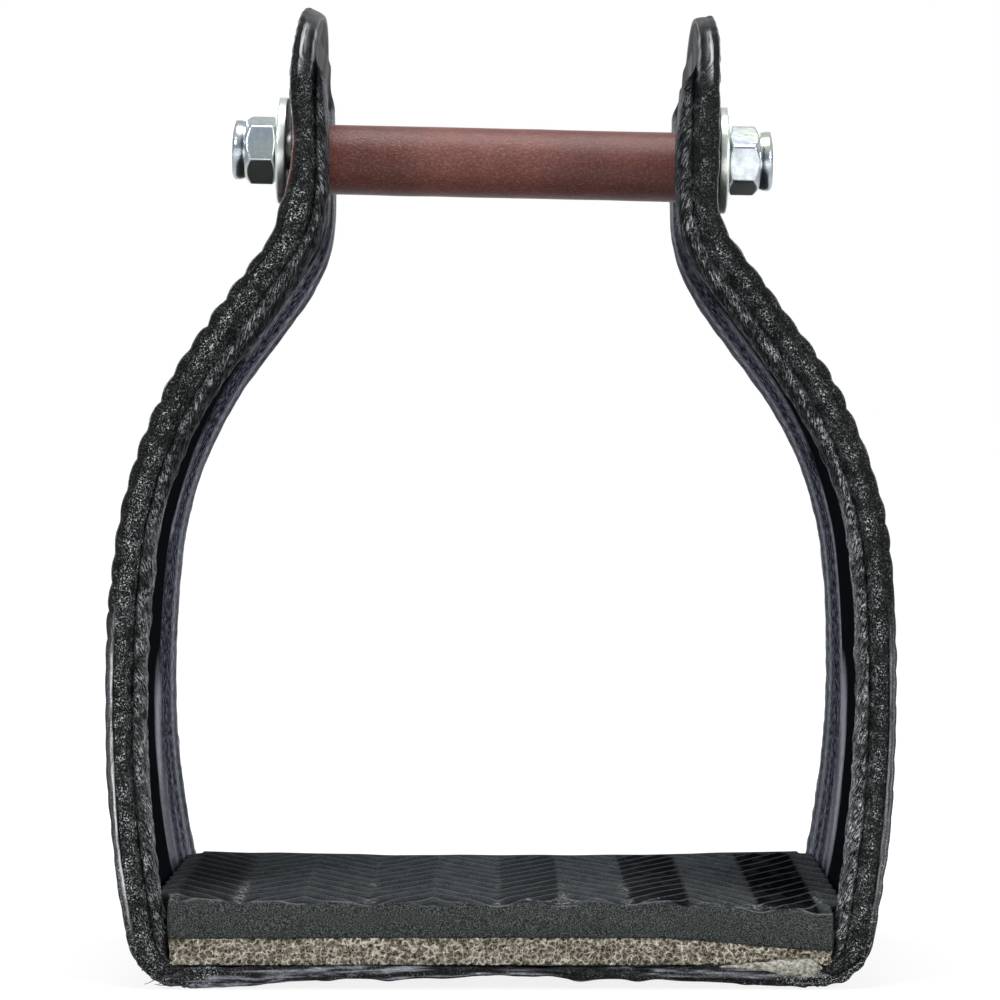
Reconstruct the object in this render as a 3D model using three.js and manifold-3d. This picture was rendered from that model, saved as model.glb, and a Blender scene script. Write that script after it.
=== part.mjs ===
// Endurance stirrup: a bent metal band covered in leather, with a roller on a through rod between
// its ears and a two-layer foam tread on its base.
// Millimetres and degrees. X runs across, Y from front (-) to rear (+), Z up. The origin lies on the
// ground under the middle of the base.
import * as THREE from 'three';
import { mergeVertices } from 'three/addons/utils/BufferGeometryUtils.js';
import Module from 'manifold-3d';

const wasm = await Module();
wasm.setup();

// Outline of the cover's outer face, from the middle of the base up to the top of one ear
const BASE_HALF = 62.8; // straight run of the base, to the start of the corner
const FOOT_LENGTH = 12; // flat stretch at each end of the base that touches the ground
const BASE_ARCH = 2; // how far the base is bowed up between its feet
const CORNER_RADIUS = 11;
const ARM_LEAN = 10; // outward lean of the arm above the corner
const LOWER_ARM = 8.6; // straight run above the corner
const SIDE_RADIUS = 245;
const SIDE_END_LEAN = 5.4; // inward lean where the side's arc ends
const HIP_RADIUS = 90;
const SLOPE_LEAN = 36.4; // inward lean of the straight slope below the neck
const SLOPE_LENGTH = 23.25;
const NECK_RADIUS = 19; // the bend back to upright below the ears
const PIN_ABOVE_NECK = 8.9;
const EAR_ABOVE_PIN = 29.6;

// How the hand-bent band differs from a true mirror shape
const RIGHT_EAR_DROP = 1.9; // the right ear stands this much lower than the left
const TOP_SWAY = 0.8; // both ears stand this far to the right of the base's middle
const ROD_SHIFT = -0.35; // the rod and its nuts sit this far to the right of the ears' middle
const BENT_RUN = 90; // height below the pin over which the two sides come to differ
const LEFT_EAR_LEAN = 5.5; // inward lean of the left ear above its washer
const RIGHT_EAR_LEAN = -1.5; // the same for the right ear, which leans outward
const LEFT_ARM_BOW = 0.7; // the left arm is pressed in by this much at the height below
const BOW_HEIGHT = 95;
const BOW_REACH = 60; // and less up to this far above and below it

// Layers, counted inward from the outer face
const OUTER_LEATHER = 1.7;
const BAND_THICK = 2;
const INNER_LEATHER = 1.4;
const LAYER_GAP = 0.3;

// Depth of the cover, front to rear
const BASE_DEPTH = 100;
const ARM_DEPTH = 84;
const EAR_DEPTH = 79;
const BASE_FLARE = 50; // length of arm over which the base's depth narrows to the arm's
const NECK_TAPER = 75; // length of arm over which the arm's depth narrows to the ear's

// Top of the ears
const EAR_CROWN_RADIUS = 80;
const EAR_CORNER_RADIUS = 14;
const TAB_HEIGHT = 9; // leather that stands above the band's end
const TAB_LEAN = 1.5;
const TAB_BEND_RADIUS = 12;
const TAB_THICK = 1.4; // the arm leather's thickness at the top of the tab
const PINCH_BELOW_BAND = 8; // the arm leather thins to that from this far below the band's end
const PINCH_ABOVE_BAND = 4; // to this far above it

// Edges of the cover
const EDGE_MARGIN = 4.5; // leather beyond the band's edge
const EDGE_PULL = 1; // how far the stitching draws the outer leather's edge inward
const PULL_WIDTH = 6;
const ROLL_RISE = 2.2; // the rolled edge stands this much proud of the arm's inner face
const ROLL_RISE_SLOPE = 3.5; // the same on the slope, where the leather bunches
const ROLL_PEAK_BELOW_NECK = 7; // where it stands highest
const ROLL_RISE_EAR = 1; // the same on the ears
const ROLL_WIDTH = 11;
const ROLL_SHOULDER = 8; // inset at which the roll has half its rise
const ROLL_CREST = 5.5; // inset of the roll's crest from the band's edge
const LIP_RISE = 2.5; // the cover's edge stands this much above its inner face along the base
const LIP_WIDTH = 3.8;
const LIP_RUN_OUT = 3; // the raised edge starts to drop this far before the arm leather's end
const LIP_END_GAP = 0.6; // and has dropped this far before it
const TUCK_LENGTH = 4.7; // how far the arm leather runs in under the tread's end

// Stitching
const THREAD_RADIUS = 0.35;
const THREAD_GAP = 0.15;
const SEAM_INSET = 2.6;
const GROOVE_HALF = 0.8;
const GROOVE_DEPTH = 0.9;
const SEAM_START_STEP = 2; // the corner's step, counted from the base, where the stitching begins

// Rod, roller, washers and nuts
const ROD_RADIUS = 3.97;
const ROD_INSIDE_NUT = 0.6; // the rod ends this far inside the nut's outer face
const ROD_CHAMFER = 0.6;
const BORE_CLEARANCE = 0.33;
const LEATHER_HOLE_CLEARANCE = 0.8;
const ROLLER_RADIUS = 7.25;
const ROLLER_WALL = 1.35; // the tube is loose on the rod and hangs from it
const ROLLER_END_GAP = 0.5;
const ROLLER_EDGE = 0.5;
const WASHER_RADIUS = 11.1;
const WASHER_THICK = 2.2;
const WASHER_STAND_OFF = 1.3; // the washers sit loose on the rod, this far off the ears
const WASHER_EDGE = 0.35;
const NUT_FLATS = 12.7;
const NUT_HEIGHT = 9.1;
const NUT_HEX_HEIGHT = 6.3;
const NUT_TURN_LEFT = 10.2; // how far each nut is turned from a flat facing the front
const NUT_TURN_RIGHT = 10.4;
const COLLAR_RADIUS = 6.2;
const COLLAR_WALL = 0.75;
const COLLAR_LIP = 0.6; // thickness of the collar's rolled-in end
const COLLAR_LIP_WIDTH = 0.5;
const INSERT_CLEARANCE = 0.25;

// Tread
const TREAD_FRONT_GAP = 1.4; // from the tread's ends to the rolled edges of the arms
const TREAD_MIDDLE_GAP = 1.1; // from the tread's ends to the arm leather between those edges
const TREAD_NECK_IN = 5; // run front to rear over which the width drops to that of the edges
const TREAD_SETBACK = 1.2; // the tread's edges lie this far inside the base's
const FOAM_LIP = 3.1; // the foam hangs down over this much of the cover's edge
const FOAM_END_RUN = 8; // length at each end that steps over the tucked leather
const FOAM_EDGE_THICK = 4.9; // foam over the cover's edge
const FOAM_END_RISE = 2.8; // the foam's underside is cut back this much at its ends
const RUBBER_THICK = 6.8;
const RIB_HEIGHT = 1.2;
const RIB_PITCH = 8.9; // front to rear
const RIB_RUN = 13.2; // across, from one turn of the zigzag to the next
const TREAD_DISH = 0.9; // the tread's ends stand this much above its middle
const TREAD_DROOP = 2.3; // how far the right front corner has sagged
const DROOP_LENGTH = 36;
const GLUE_LENGTH = 18;
const GLUE_HEIGHT = 1.6;
const GLUE_DEPTH = 0.9;
const GLUE_FROM_END = 13.6; // from the tread's end to the middle of the bead

const radians = THREE.MathUtils.degToRad;
const lerp = THREE.MathUtils.lerp;
const smoothstep = THREE.MathUtils.smoothstep;
const clamp = THREE.MathUtils.clamp;

const BAND_OUTER = OUTER_LEATHER + LAYER_GAP;
const BAND_INNER = BAND_OUTER + BAND_THICK;
const WEB = BAND_INNER + LAYER_GAP + INNER_LEATHER;
const TAB_INNER = BAND_OUTER + TAB_THICK;
const LIP_HEIGHT = OUTER_LEATHER + LIP_RISE;
const TUCK_START = BASE_HALF - TUCK_LENGTH;
const FOAM_TOP = LIP_HEIGHT + LAYER_GAP + FOAM_EDGE_THICK;
const RUBBER_TOP = FOAM_TOP + LAYER_GAP + RUBBER_THICK;
const ARCH_HALF = BASE_HALF - FOOT_LENGTH;

const LEATHER = { color: 0x17181a, roughness: 0.45, metalness: 0 };
const LINING = { color: 0x1d1e24, roughness: 0.5, metalness: 0 };
const STEEL = { color: 0x8d9092, roughness: 0.45, metalness: 1 };
const ZINC = { color: 0xc9ced2, roughness: 0.28, metalness: 1 };
const THREAD = { color: 0x121212, roughness: 0.8, metalness: 0 };
const PAINT = { color: 0x6e423a, roughness: 0.42, metalness: 0 };
const NYLON = { color: 0xe4e2da, roughness: 0.5, metalness: 0 };
const RUBBER = { color: 0x33373a, roughness: 0.85, metalness: 0 };
const FOAM = { color: 0xa89478, roughness: 0.95, metalness: 0 };
const GLUE = { color: 0xcfc8b8, roughness: 0.6, metalness: 0 };

// The outline as runs of [length, turn]; an arc's length follows from its radius and turn
function arc(radius, turn) {
  return [radius * Math.abs(radians(turn)), radians(turn)];
}

const TAB_RUN = (TAB_HEIGHT - TAB_BEND_RADIUS * Math.sin(radians(TAB_LEAN))) / Math.cos(radians(TAB_LEAN));
const RUNS = [
  [BASE_HALF, 0],
  arc(CORNER_RADIUS, 90 - ARM_LEAN),
  [LOWER_ARM, 0],
  arc(SIDE_RADIUS, ARM_LEAN + SIDE_END_LEAN),
  arc(HIP_RADIUS, SLOPE_LEAN - SIDE_END_LEAN),
  [SLOPE_LENGTH, 0],
  arc(NECK_RADIUS, -SLOPE_LEAN),
  [PIN_ABOVE_NECK + WASHER_RADIUS, 0],
  [EAR_ABOVE_PIN - WASHER_RADIUS - TAB_HEIGHT, 0],
  arc(TAB_BEND_RADIUS, TAB_LEAN),
  [TAB_RUN, 0],
];
const RUN_ENDS = RUNS.reduce((ends, [length]) => [...ends, ends.at(-1) + length], [0]);
const CORNER_END = RUN_ENDS[2];
const SIDE_ARC_END = RUN_ENDS[4];
const NECK_END = RUN_ENDS[7];
const ROLL_PEAK = RUN_ENDS[6] - ROLL_PEAK_BELOW_NECK;
const BAND_END = RUN_ENDS[9];
const COVER_END = RUN_ENDS.at(-1);

function archHeight(x) {
  const t = Math.min(Math.abs(x) / ARCH_HALF, 1);
  return (BASE_ARCH * (1 + Math.cos(Math.PI * t))) / 2;
}

function archSlope(x) {
  const t = Math.min(Math.abs(x) / ARCH_HALF, 1);
  return (-BASE_ARCH * Math.PI * Math.sin(Math.PI * t)) / (2 * ARCH_HALF);
}

// One step along a run: a chord of its arc, or a straight
function advance(place, length, turn) {
  const chord = turn === 0 ? length : (2 * length * Math.sin(turn / 2)) / turn;
  const heading = place.heading + turn / 2;
  return {
    x: place.x + chord * Math.cos(heading),
    z: place.z + chord * Math.sin(heading),
    heading: place.heading + turn,
  };
}

// Place and heading at a distance along the outline; a negative distance lies on the left half
function outlineAt(distance) {
  const s = Math.abs(distance);
  let place = { x: 0, z: 0, heading: 0 };
  RUNS.forEach(([length, turn], i) => {
    const part = clamp((s - RUN_ENDS[i]) / length, 0, 1);
    if (part > 0) place = advance(place, length * part, turn * part);
  });
  if (s < BASE_HALF) place = { x: s, z: archHeight(s), heading: Math.atan(archSlope(s)) };
  return { ...place, side: distance < 0 ? -1 : 1 };
}

const EAR_X = outlineAt(NECK_END).x;
const PIN_Z = outlineAt(NECK_END).z + PIN_ABOVE_NECK;
const PIN_TILT = Math.atan(RIGHT_EAR_DROP / (2 * EAR_X));

// Place of a point on the hand-bent band, from its place on the true mirror shape
function handBent(x, y, z) {
  const grown = smoothstep(z, PIN_Z - BENT_RUN, PIN_Z - PIN_ABOVE_NECK);
  const aboveWasher = Math.max(z - PIN_Z - WASHER_RADIUS, 0);
  const lean = aboveWasher * Math.tan(radians(x < 0 ? LEFT_EAR_LEAN : -RIGHT_EAR_LEAN));
  const bow = x < 0 ? LEFT_ARM_BOW * (1 - smoothstep(Math.abs(z - BOW_HEIGHT), 0, BOW_REACH)) : 0;
  return [x + grown * TOP_SWAY + lean + bow, y, z - (grown * RIGHT_EAR_DROP * x) / (2 * EAR_X)];
}

// Half depth of the cover at a distance along the outline, before the ear's outline trims it
function plainHalfDepth(s) {
  const low = 1 - smoothstep(s, CORNER_END, CORNER_END + BASE_FLARE);
  const high = smoothstep(s, NECK_END - NECK_TAPER, NECK_END);
  const arm = lerp(ARM_DEPTH, EAR_DEPTH, high);
  return lerp(arm, BASE_DEPTH, low) / 2;
}

function crownHeight(shoulder) {
  return EAR_CROWN_RADIUS - Math.sqrt(EAR_CROWN_RADIUS ** 2 - shoulder ** 2);
}

// Half depth of the ear's outline at a distance below its top: a crown, then round corners
function earHalfDepth(below, half, corner) {
  const shoulder = half - corner;
  const crown = crownHeight(shoulder);
  if (below < crown) return Math.sqrt(below * (2 * EAR_CROWN_RADIUS - below));
  if (below < crown + corner) return shoulder + Math.sqrt(corner ** 2 - (crown + corner - below) ** 2);
  return half;
}

function halfDepth(s, margin) {
  const top = margin > 0 ? BAND_END + EDGE_MARGIN - margin : COVER_END;
  const plain = plainHalfDepth(s) - margin;
  return Math.min(plain, earHalfDepth(top - s, plain, EAR_CORNER_RADIUS - margin));
}

// Distances along one half of the outline where a sweep has its rings
const FIRST_RING = 0.35; // below the very top, where the ear's outline would close to a point
const EAR_CROWN = crownHeight(EAR_DEPTH / 2 - EAR_CORNER_RADIUS);
const CORNER_RINGS = [1, 0.6, 0.32, 0.12, 0].map((part) => EAR_CROWN + part * EAR_CORNER_RADIUS);
const CROWN_RINGS = [0.55, 0.25].map((part) => EAR_CROWN * part);
const TOP_RINGS = [...CORNER_RINGS, ...CROWN_RINGS, FIRST_RING];
const CORNER_STEPS = 6;
const RUN_STEPS = [5, CORNER_STEPS, 1, 4, 5, 2, 4, 1, 1, 1, 1];

function ringsBetween(start, end, topRings = TOP_RINGS) {
  const rings = [start, end];
  RUNS.forEach(([length], i) => {
    for (let k = 0; k <= RUN_STEPS[i]; k += 1) rings.push(RUN_ENDS[i] + (length * k) / RUN_STEPS[i]);
  });
  topRings.forEach((below) => rings.push(end - below));
  const closest = topRings.length > 0 ? end - FIRST_RING : end;
  const inside = rings.filter((s) => s >= start && s <= closest).sort((a, b) => a - b);
  return inside.filter((s, i) => i === 0 || s - inside[i - 1] > 0.3);
}

function mirrored(rings) {
  const left = rings.filter((s) => s > 0).map((s) => -s).reverse();
  return [...left, ...rings];
}

// A geometry as one closed body: shared vertices, no flat triangles, faces pointing out
function closedBody(geometry) {
  const bare = new THREE.BufferGeometry();
  bare.setAttribute('position', geometry.getAttribute('position'));
  bare.setIndex(geometry.getIndex());
  const merged = mergeVertices(bare, 1e-4);
  const position = merged.getAttribute('position');
  const index = [...merged.getIndex().array];
  const faces = [];
  for (let i = 0; i < index.length; i += 3) {
    const [a, b, c] = index.slice(i, i + 3);
    if (a !== b && b !== c && c !== a) faces.push([a, b, c]);
  }
  const corner = (k) => new THREE.Vector3().fromBufferAttribute(position, k);
  const volume = faces.reduce((sum, [a, b, c]) => sum + corner(a).dot(corner(b).cross(corner(c))), 0);
  merged.setIndex(faces.flatMap(([a, b, c]) => (volume < 0 ? [a, c, b] : [a, b, c])));
  return merged;
}

function toSolid(geometry) {
  const body = closedBody(geometry);
  const vertProperties = new Float32Array(body.getAttribute('position').array);
  const triVerts = new Uint32Array(body.getIndex().array);
  return new wasm.Manifold(new wasm.Mesh({ numProp: 3, vertProperties, triVerts }));
}

function toGeometry(solid) {
  const mesh = solid.getMesh();
  const geometry = new THREE.BufferGeometry();
  geometry.setAttribute('position', new THREE.BufferAttribute(new Float32Array(mesh.vertProperties), 3));
  geometry.setIndex([...mesh.triVerts]);
  return geometry;
}

// Skin over rings of points, with flat ends; flatEnd lists the first ring's points in its own plane
function skin(rings, flatEnd) {
  const count = flatEnd.length;
  const index = [];
  for (let i = 0; i + 1 < rings.length; i += 1) {
    for (let k = 0; k < count; k += 1) {
      const a = i * count + k;
      const b = i * count + ((k + 1) % count);
      index.push(a, b, b + count, a, b + count, a + count);
    }
  }
  const last = (rings.length - 1) * count;
  THREE.ShapeUtils.triangulateShape(flatEnd, []).forEach(([a, b, c]) => {
    index.push(c, b, a, last + a, last + b, last + c);
  });
  const geometry = new THREE.BufferGeometry();
  geometry.setAttribute('position', new THREE.Float32BufferAttribute(rings.flat(2), 3));
  geometry.setIndex(index);
  return closedBody(geometry);
}

// Sweep of a section along the outline; section(s) gives [inward, depth] points
function sweep(distances, section) {
  const rings = distances.map((s) => {
    const place = outlineAt(s);
    const inwardX = -Math.sin(place.heading);
    const inwardZ = Math.cos(place.heading);
    return section(Math.abs(s)).map(([u, v]) => {
      return handBent(place.side * (place.x + u * inwardX), v, place.z + u * inwardZ);
    });
  });
  const flatEnd = section(Math.abs(distances[0])).map(([u, v]) => new THREE.Vector2(u, v));
  return skin(rings, flatEnd);
}

// A section from its front half, given as [inset from the edge, inward] from inner face to outer
function bothEdges(half, points) {
  const scale = Math.min(1, half / (2 * ROLL_WIDTH));
  const rear = points.map(([inset, u]) => [u, half - inset * scale]);
  const front = points.map(([inset, u]) => [u, inset * scale - half]).reverse();
  return [...front, ...rear];
}

function pullAt(s, inset) {
  const grown = smoothstep(s, CORNER_END - CORNER_RADIUS, CORNER_END + CORNER_RADIUS);
  return EDGE_PULL * grown * Math.max(1 - inset / PULL_WIDTH, 0) ** 2;
}

// Height of the outer leather's turned-up edge along the base, above its outer face
function lipAt(s) {
  const grown = 1 - smoothstep(s, TUCK_START - LIP_RUN_OUT, TUCK_START - LIP_END_GAP);
  const lip = LIP_HEIGHT - archHeight(s);
  return s < BASE_HALF ? lerp(OUTER_LEATHER, Math.max(lip, OUTER_LEATHER), grown) : OUTER_LEATHER;
}

function outerLeatherSection(s) {
  const lip = lipAt(s);
  const surface = (inset, depth) => [inset, pullAt(s, inset) + depth];
  return bothEdges(halfDepth(s, 0), [
    surface(PULL_WIDTH, OUTER_LEATHER),
    surface(LIP_WIDTH, OUTER_LEATHER),
    surface(LIP_WIDTH - 0.3, lip),
    surface(0.6, lip),
    surface(0.1, lip - 0.5),
    surface(0.1, 0.4),
    surface(0.5, 0),
    surface(SEAM_INSET - GROOVE_HALF, 0),
    surface(SEAM_INSET, GROOVE_DEPTH),
    surface(SEAM_INSET + GROOVE_HALF, 0),
    surface(PULL_WIDTH, 0),
  ]);
}

// The arm leather as if solid, from the outer leather to its own inner face
function armLeatherSection(s) {
  const onArm = smoothstep(s, BASE_HALF, CORNER_END);
  const onTab = smoothstep(s, BAND_END - PINCH_BELOW_BAND, BAND_END + PINCH_ABOVE_BAND);
  const sideRise = lerp(ROLL_RISE, ROLL_RISE_SLOPE, smoothstep(s, SIDE_ARC_END, ROLL_PEAK));
  const rise = lerp(sideRise, ROLL_RISE_EAR, smoothstep(s, ROLL_PEAK, NECK_END));
  const web = lerp(WEB, TAB_INNER, onTab);
  const crest = lerp(WEB + rise * onArm, TAB_INNER + 0.3, onTab);
  const edge = lerp(LIP_HEIGHT, crest, onArm);
  const seat = (inset) => BAND_OUTER + pullAt(s, inset);
  const rolled = (inset, part) => [inset, lerp(seat(inset), edge, part)];
  return bothEdges(halfDepth(s, 0), [
    [ROLL_WIDTH, web],
    [ROLL_SHOULDER, lerp(web, crest, 0.55)],
    [ROLL_CREST, crest],
    [3.2, lerp(edge, crest - 0.4, onArm)],
    rolled(1.8, 0.8),
    rolled(1.5, 0.63),
    rolled(2.1, 0.5),
    rolled(0.9, 0.36),
    rolled(0.3, 0.15),
    [0.3, seat(0.3)],
    [LIP_WIDTH, seat(LIP_WIDTH)],
    [PULL_WIDTH, BAND_OUTER],
  ]);
}

function bandSection(clearance) {
  return (s) => {
    const half = halfDepth(s, EDGE_MARGIN - clearance);
    const outer = BAND_OUTER - 3 * clearance;
    const inner = BAND_INNER + clearance;
    return [[inner, -half], [inner, half], [outer, half], [outer, -half]];
  };
}

// A body turned about the X axis from [along, radius] points
function turned(profile, sides) {
  const points = profile.map(([along, radius]) => new THREE.Vector2(radius, along));
  const geometry = new THREE.LatheGeometry(points, sides);
  geometry.rotateZ(-Math.PI / 2);
  return closedBody(geometry);
}

function ring(start, end, inner, outer, edge, sides) {
  return turned([
    [start, inner],
    [start, outer - edge],
    [start + edge, outer],
    [end - edge, outer],
    [end, outer - edge],
    [end, inner],
    [start, inner],
  ], sides);
}

// Tool for the rod's hole through both ears
function pinHole(radius) {
  const reach = 2 * EAR_X;
  const geometry = turned([[-reach, 0], [-reach, radius], [reach, radius], [reach, 0]], 28);
  geometry.rotateY(PIN_TILT);
  geometry.translate(TOP_SWAY, 0, PIN_Z);
  return toSolid(geometry);
}

function frameBand() {
  const rings = mirrored(ringsBetween(0, BAND_END));
  const band = toSolid(sweep(rings, bandSection(0)));
  return toGeometry(band.subtract(pinHole(ROD_RADIUS + BORE_CLEARANCE)));
}

function outerLeather() {
  const rings = mirrored([
    ...ringsBetween(0, TUCK_START - LIP_RUN_OUT, []),
    ...ringsBetween(TUCK_START - LIP_END_GAP, COVER_END),
  ]);
  const leather = toSolid(sweep(rings, outerLeatherSection));
  return toGeometry(leather.subtract(pinHole(ROD_RADIUS + LEATHER_HOLE_CLEARANCE)));
}

function armLeather(side) {
  const rings = ringsBetween(TUCK_START, COVER_END).map((s) => side * s);
  const pocketRings = ringsBetween(TUCK_START - 2, BAND_END + LAYER_GAP).map((s) => side * s);
  const slab = toSolid(sweep(rings, armLeatherSection));
  const pocket = toSolid(sweep(pocketRings, bandSection(LAYER_GAP)));
  return toGeometry(slab.subtract(pocket).subtract(pinHole(ROD_RADIUS + LEATHER_HOLE_CLEARANCE)));
}

function seamThread(side, edge) {
  const start = lerp(BASE_HALF, CORNER_END, SEAM_START_STEP / CORNER_STEPS);
  const rings = ringsBetween(start, COVER_END - TOP_RINGS[0], []);
  const sides = 5;
  const radius = THREAD_RADIUS;
  const out = (THREAD_RADIUS + THREAD_GAP) * Math.hypot(1, GROOVE_DEPTH / GROOVE_HALF) - GROOVE_DEPTH;
  return sweep(rings.map((s) => side * s), (s) => {
    const v = edge * (halfDepth(s, 0) - SEAM_INSET);
    const u = pullAt(s, SEAM_INSET) - out;
    return Array.from({ length: sides }, (_, k) => {
      const angle = (2 * Math.PI * k) / sides;
      return [u + radius * Math.cos(angle), v + radius * Math.sin(angle)];
    });
  });
}

// Where the hardware sits along the rod's axis, from the middle outward
const NECK_UNDER_WASHER = Math.max(WASHER_RADIUS - PIN_ABOVE_NECK, 0);
const NECK_BULGE = NECK_RADIUS - Math.sqrt(NECK_RADIUS ** 2 - NECK_UNDER_WASHER ** 2);
const TILT_ROOM = WASHER_RADIUS * Math.sin(PIN_TILT);
const ROLLER_END = EAR_X - WEB - ROLLER_END_GAP;
const WASHER_START = EAR_X + WASHER_STAND_OFF + NECK_BULGE + TILT_ROOM / 2;
const NUT_START = WASHER_START + WASHER_THICK + LAYER_GAP;
const NUT_END = NUT_START + NUT_HEIGHT;
const BORE_RADIUS = ROD_RADIUS + BORE_CLEARANCE;
const COLLAR_BORE = COLLAR_RADIUS - COLLAR_WALL;
const ROLLER_BORE = ROLLER_RADIUS - ROLLER_WALL;
const ROLLER_HANG = ROLLER_BORE - ROD_RADIUS - LAYER_GAP;

function roller() {
  return ring(-ROLLER_END, ROLLER_END, ROLLER_BORE, ROLLER_RADIUS, ROLLER_EDGE, 32);
}

function pinRod() {
  const end = NUT_END - ROD_INSIDE_NUT;
  return turned([
    [-end, 0],
    [-end, ROD_RADIUS - ROD_CHAMFER],
    [ROD_CHAMFER - end, ROD_RADIUS],
    [end - ROD_CHAMFER, ROD_RADIUS],
    [end, ROD_RADIUS - ROD_CHAMFER],
    [end, 0],
  ], 24);
}

function washer() {
  const end = WASHER_START + WASHER_THICK;
  return ring(WASHER_START, end, BORE_RADIUS, WASHER_RADIUS, WASHER_EDGE, 32);
}

// Hexagon with its corners turned off at both ends
function nutHexagon() {
  const cornerRadius = NUT_FLATS / 2 / Math.cos(Math.PI / 6);
  const bevel = cornerRadius - NUT_FLATS / 2 + 0.1;
  const start = NUT_START;
  const end = NUT_START + NUT_HEX_HEIGHT;
  const prism = turned([[start, 0], [start, cornerRadius], [end, cornerRadius], [end, 0]], 6);
  const bevelled = turned([
    [start - 1, 0],
    [start - 1, cornerRadius - bevel - 1],
    [start + bevel * 0.58, cornerRadius],
    [end - bevel, cornerRadius],
    [end + 1, cornerRadius - bevel - 1],
    [end + 1, 0],
  ], 24);
  return toSolid(prism).intersect(toSolid(bevelled));
}

function lockNut() {
  const round = COLLAR_WALL + 0.4;
  const collar = turned([
    [NUT_START + 1, 0],
    [NUT_START + 1, COLLAR_RADIUS - 0.4],
    [NUT_END - round, COLLAR_RADIUS],
    [NUT_END - round * 0.35, COLLAR_RADIUS - round * 0.3],
    [NUT_END, COLLAR_RADIUS - round * 0.8],
    [NUT_END, 0],
  ], 24);
  const insertStart = NUT_START + NUT_HEX_HEIGHT - 0.3;
  const lip = COLLAR_BORE - COLLAR_LIP_WIDTH;
  const hollow = turned([
    [NUT_START - 1, 0],
    [NUT_START - 1, BORE_RADIUS],
    [insertStart, BORE_RADIUS],
    [insertStart, COLLAR_BORE],
    [NUT_END - COLLAR_LIP, COLLAR_BORE],
    [NUT_END - COLLAR_LIP, lip],
    [NUT_END + 1, lip],
    [NUT_END + 1, 0],
  ], 24);
  return toGeometry(nutHexagon().add(toSolid(collar)).subtract(toSolid(hollow)));
}

function nylonInsert() {
  const start = NUT_START + NUT_HEX_HEIGHT - 0.3 + INSERT_CLEARANCE;
  const end = NUT_END - COLLAR_LIP - INSERT_CLEARANCE;
  return ring(start, end, BORE_RADIUS, COLLAR_BORE - INSERT_CLEARANCE, 0.2, 24);
}

// Half width between the arms just above the corners, at a depth into the cover and a height
function insideHalfWidth(inward, z) {
  const lean = radians(ARM_LEAN);
  return BASE_HALF + (CORNER_RADIUS - inward) / Math.cos(lean) + (z - CORNER_RADIUS) * Math.tan(lean);
}

const TREAD_HALF_DEPTH = BASE_DEPTH / 2 - TREAD_SETBACK;
const TREAD_FRONT_HALF = insideHalfWidth(WEB + ROLL_RISE, RUBBER_TOP) - TREAD_FRONT_GAP;

// How the tread's layers are lifted at the ends and have sagged at the right front corner
function treadLift(x, y) {
  const across = x / TREAD_FRONT_HALF;
  const sag = smoothstep(x, TREAD_FRONT_HALF - DROOP_LENGTH, TREAD_FRONT_HALF);
  const frontness = (1 - y / TREAD_HALF_DEPTH) / 2;
  return TREAD_DISH * across ** 2 - TREAD_DROOP * sag * frontness;
}

const ROLL_INNER = BASE_DEPTH / 2 - ROLL_WIDTH;

// Half width of the tread at a place front to rear and a height: wider between the rolled edges
function treadHalfWidth(y, z) {
  const middle = insideHalfWidth(WEB, z) - TREAD_MIDDLE_GAP;
  const front = Math.min(middle, TREAD_FRONT_HALF);
  return lerp(middle, front, smoothstep(Math.abs(y), ROLL_INNER, ROLL_INNER + TREAD_NECK_IN));
}

// Block over a grid of columns and rows; point(column, row, top) gives each corner's place
function gridBlock(columns, rows, point, diagonal) {
  const across = columns.length;
  const positions = [];
  [true, false].forEach((top) => {
    rows.forEach((row, j) => columns.forEach((column, i) => positions.push(point(i, j, top))));
  });
  const at = (i, j, top) => (top ? 0 : across * rows.length) + j * across + i;
  const index = [];
  const quad = (a, b, c, d, flip) => index.push(...(flip ? [a, b, d, b, c, d] : [a, b, c, a, c, d]));
  for (let j = 0; j + 1 < rows.length; j += 1) {
    for (let i = 0; i + 1 < across; i += 1) {
      const flip = diagonal(i);
      quad(at(i, j, true), at(i + 1, j, true), at(i + 1, j + 1, true), at(i, j + 1, true), flip);
      quad(at(i, j + 1, false), at(i + 1, j + 1, false), at(i + 1, j, false), at(i, j, false), false);
    }
  }
  const wall = (i, j, k, l) => quad(at(i, j, false), at(k, l, false), at(k, l, true), at(i, j, true), false);
  for (let i = 0; i + 1 < across; i += 1) {
    wall(i, 0, i + 1, 0);
    wall(i + 1, rows.length - 1, i, rows.length - 1);
  }
  for (let j = 0; j + 1 < rows.length; j += 1) {
    wall(0, j + 1, 0, j);
    wall(across - 1, j, across - 1, j + 1);
  }
  const geometry = new THREE.BufferGeometry();
  geometry.setAttribute('position', new THREE.Float32BufferAttribute(positions.flat(), 3));
  geometry.setIndex(index);
  return closedBody(geometry);
}

function evenly(count, half) {
  return Array.from({ length: count + 1 }, (_, i) => half * ((2 * i) / count - 1));
}

// Black top layer: zigzag ribs, so crests and troughs alternate over a grid of half runs
function treadRubber() {
  const columns = evenly(2 * Math.round((2 * TREAD_FRONT_HALF) / RIB_RUN), 1);
  const rows = evenly(2 * Math.round((2 * TREAD_HALF_DEPTH) / RIB_PITCH), TREAD_HALF_DEPTH);
  const point = (i, j, top) => {
    const y = rows[j];
    const level = top ? RUBBER_TOP : FOAM_TOP + LAYER_GAP;
    const x = columns[i] * treadHalfWidth(y, level);
    const rib = top ? RIB_HEIGHT * (((i + j) % 2) - 0.5) : 0;
    return handBent(x, y, level + rib + treadLift(x, y));
  };
  return gridBlock(columns, rows, point, (i) => i % 4 < 2);
}

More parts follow.
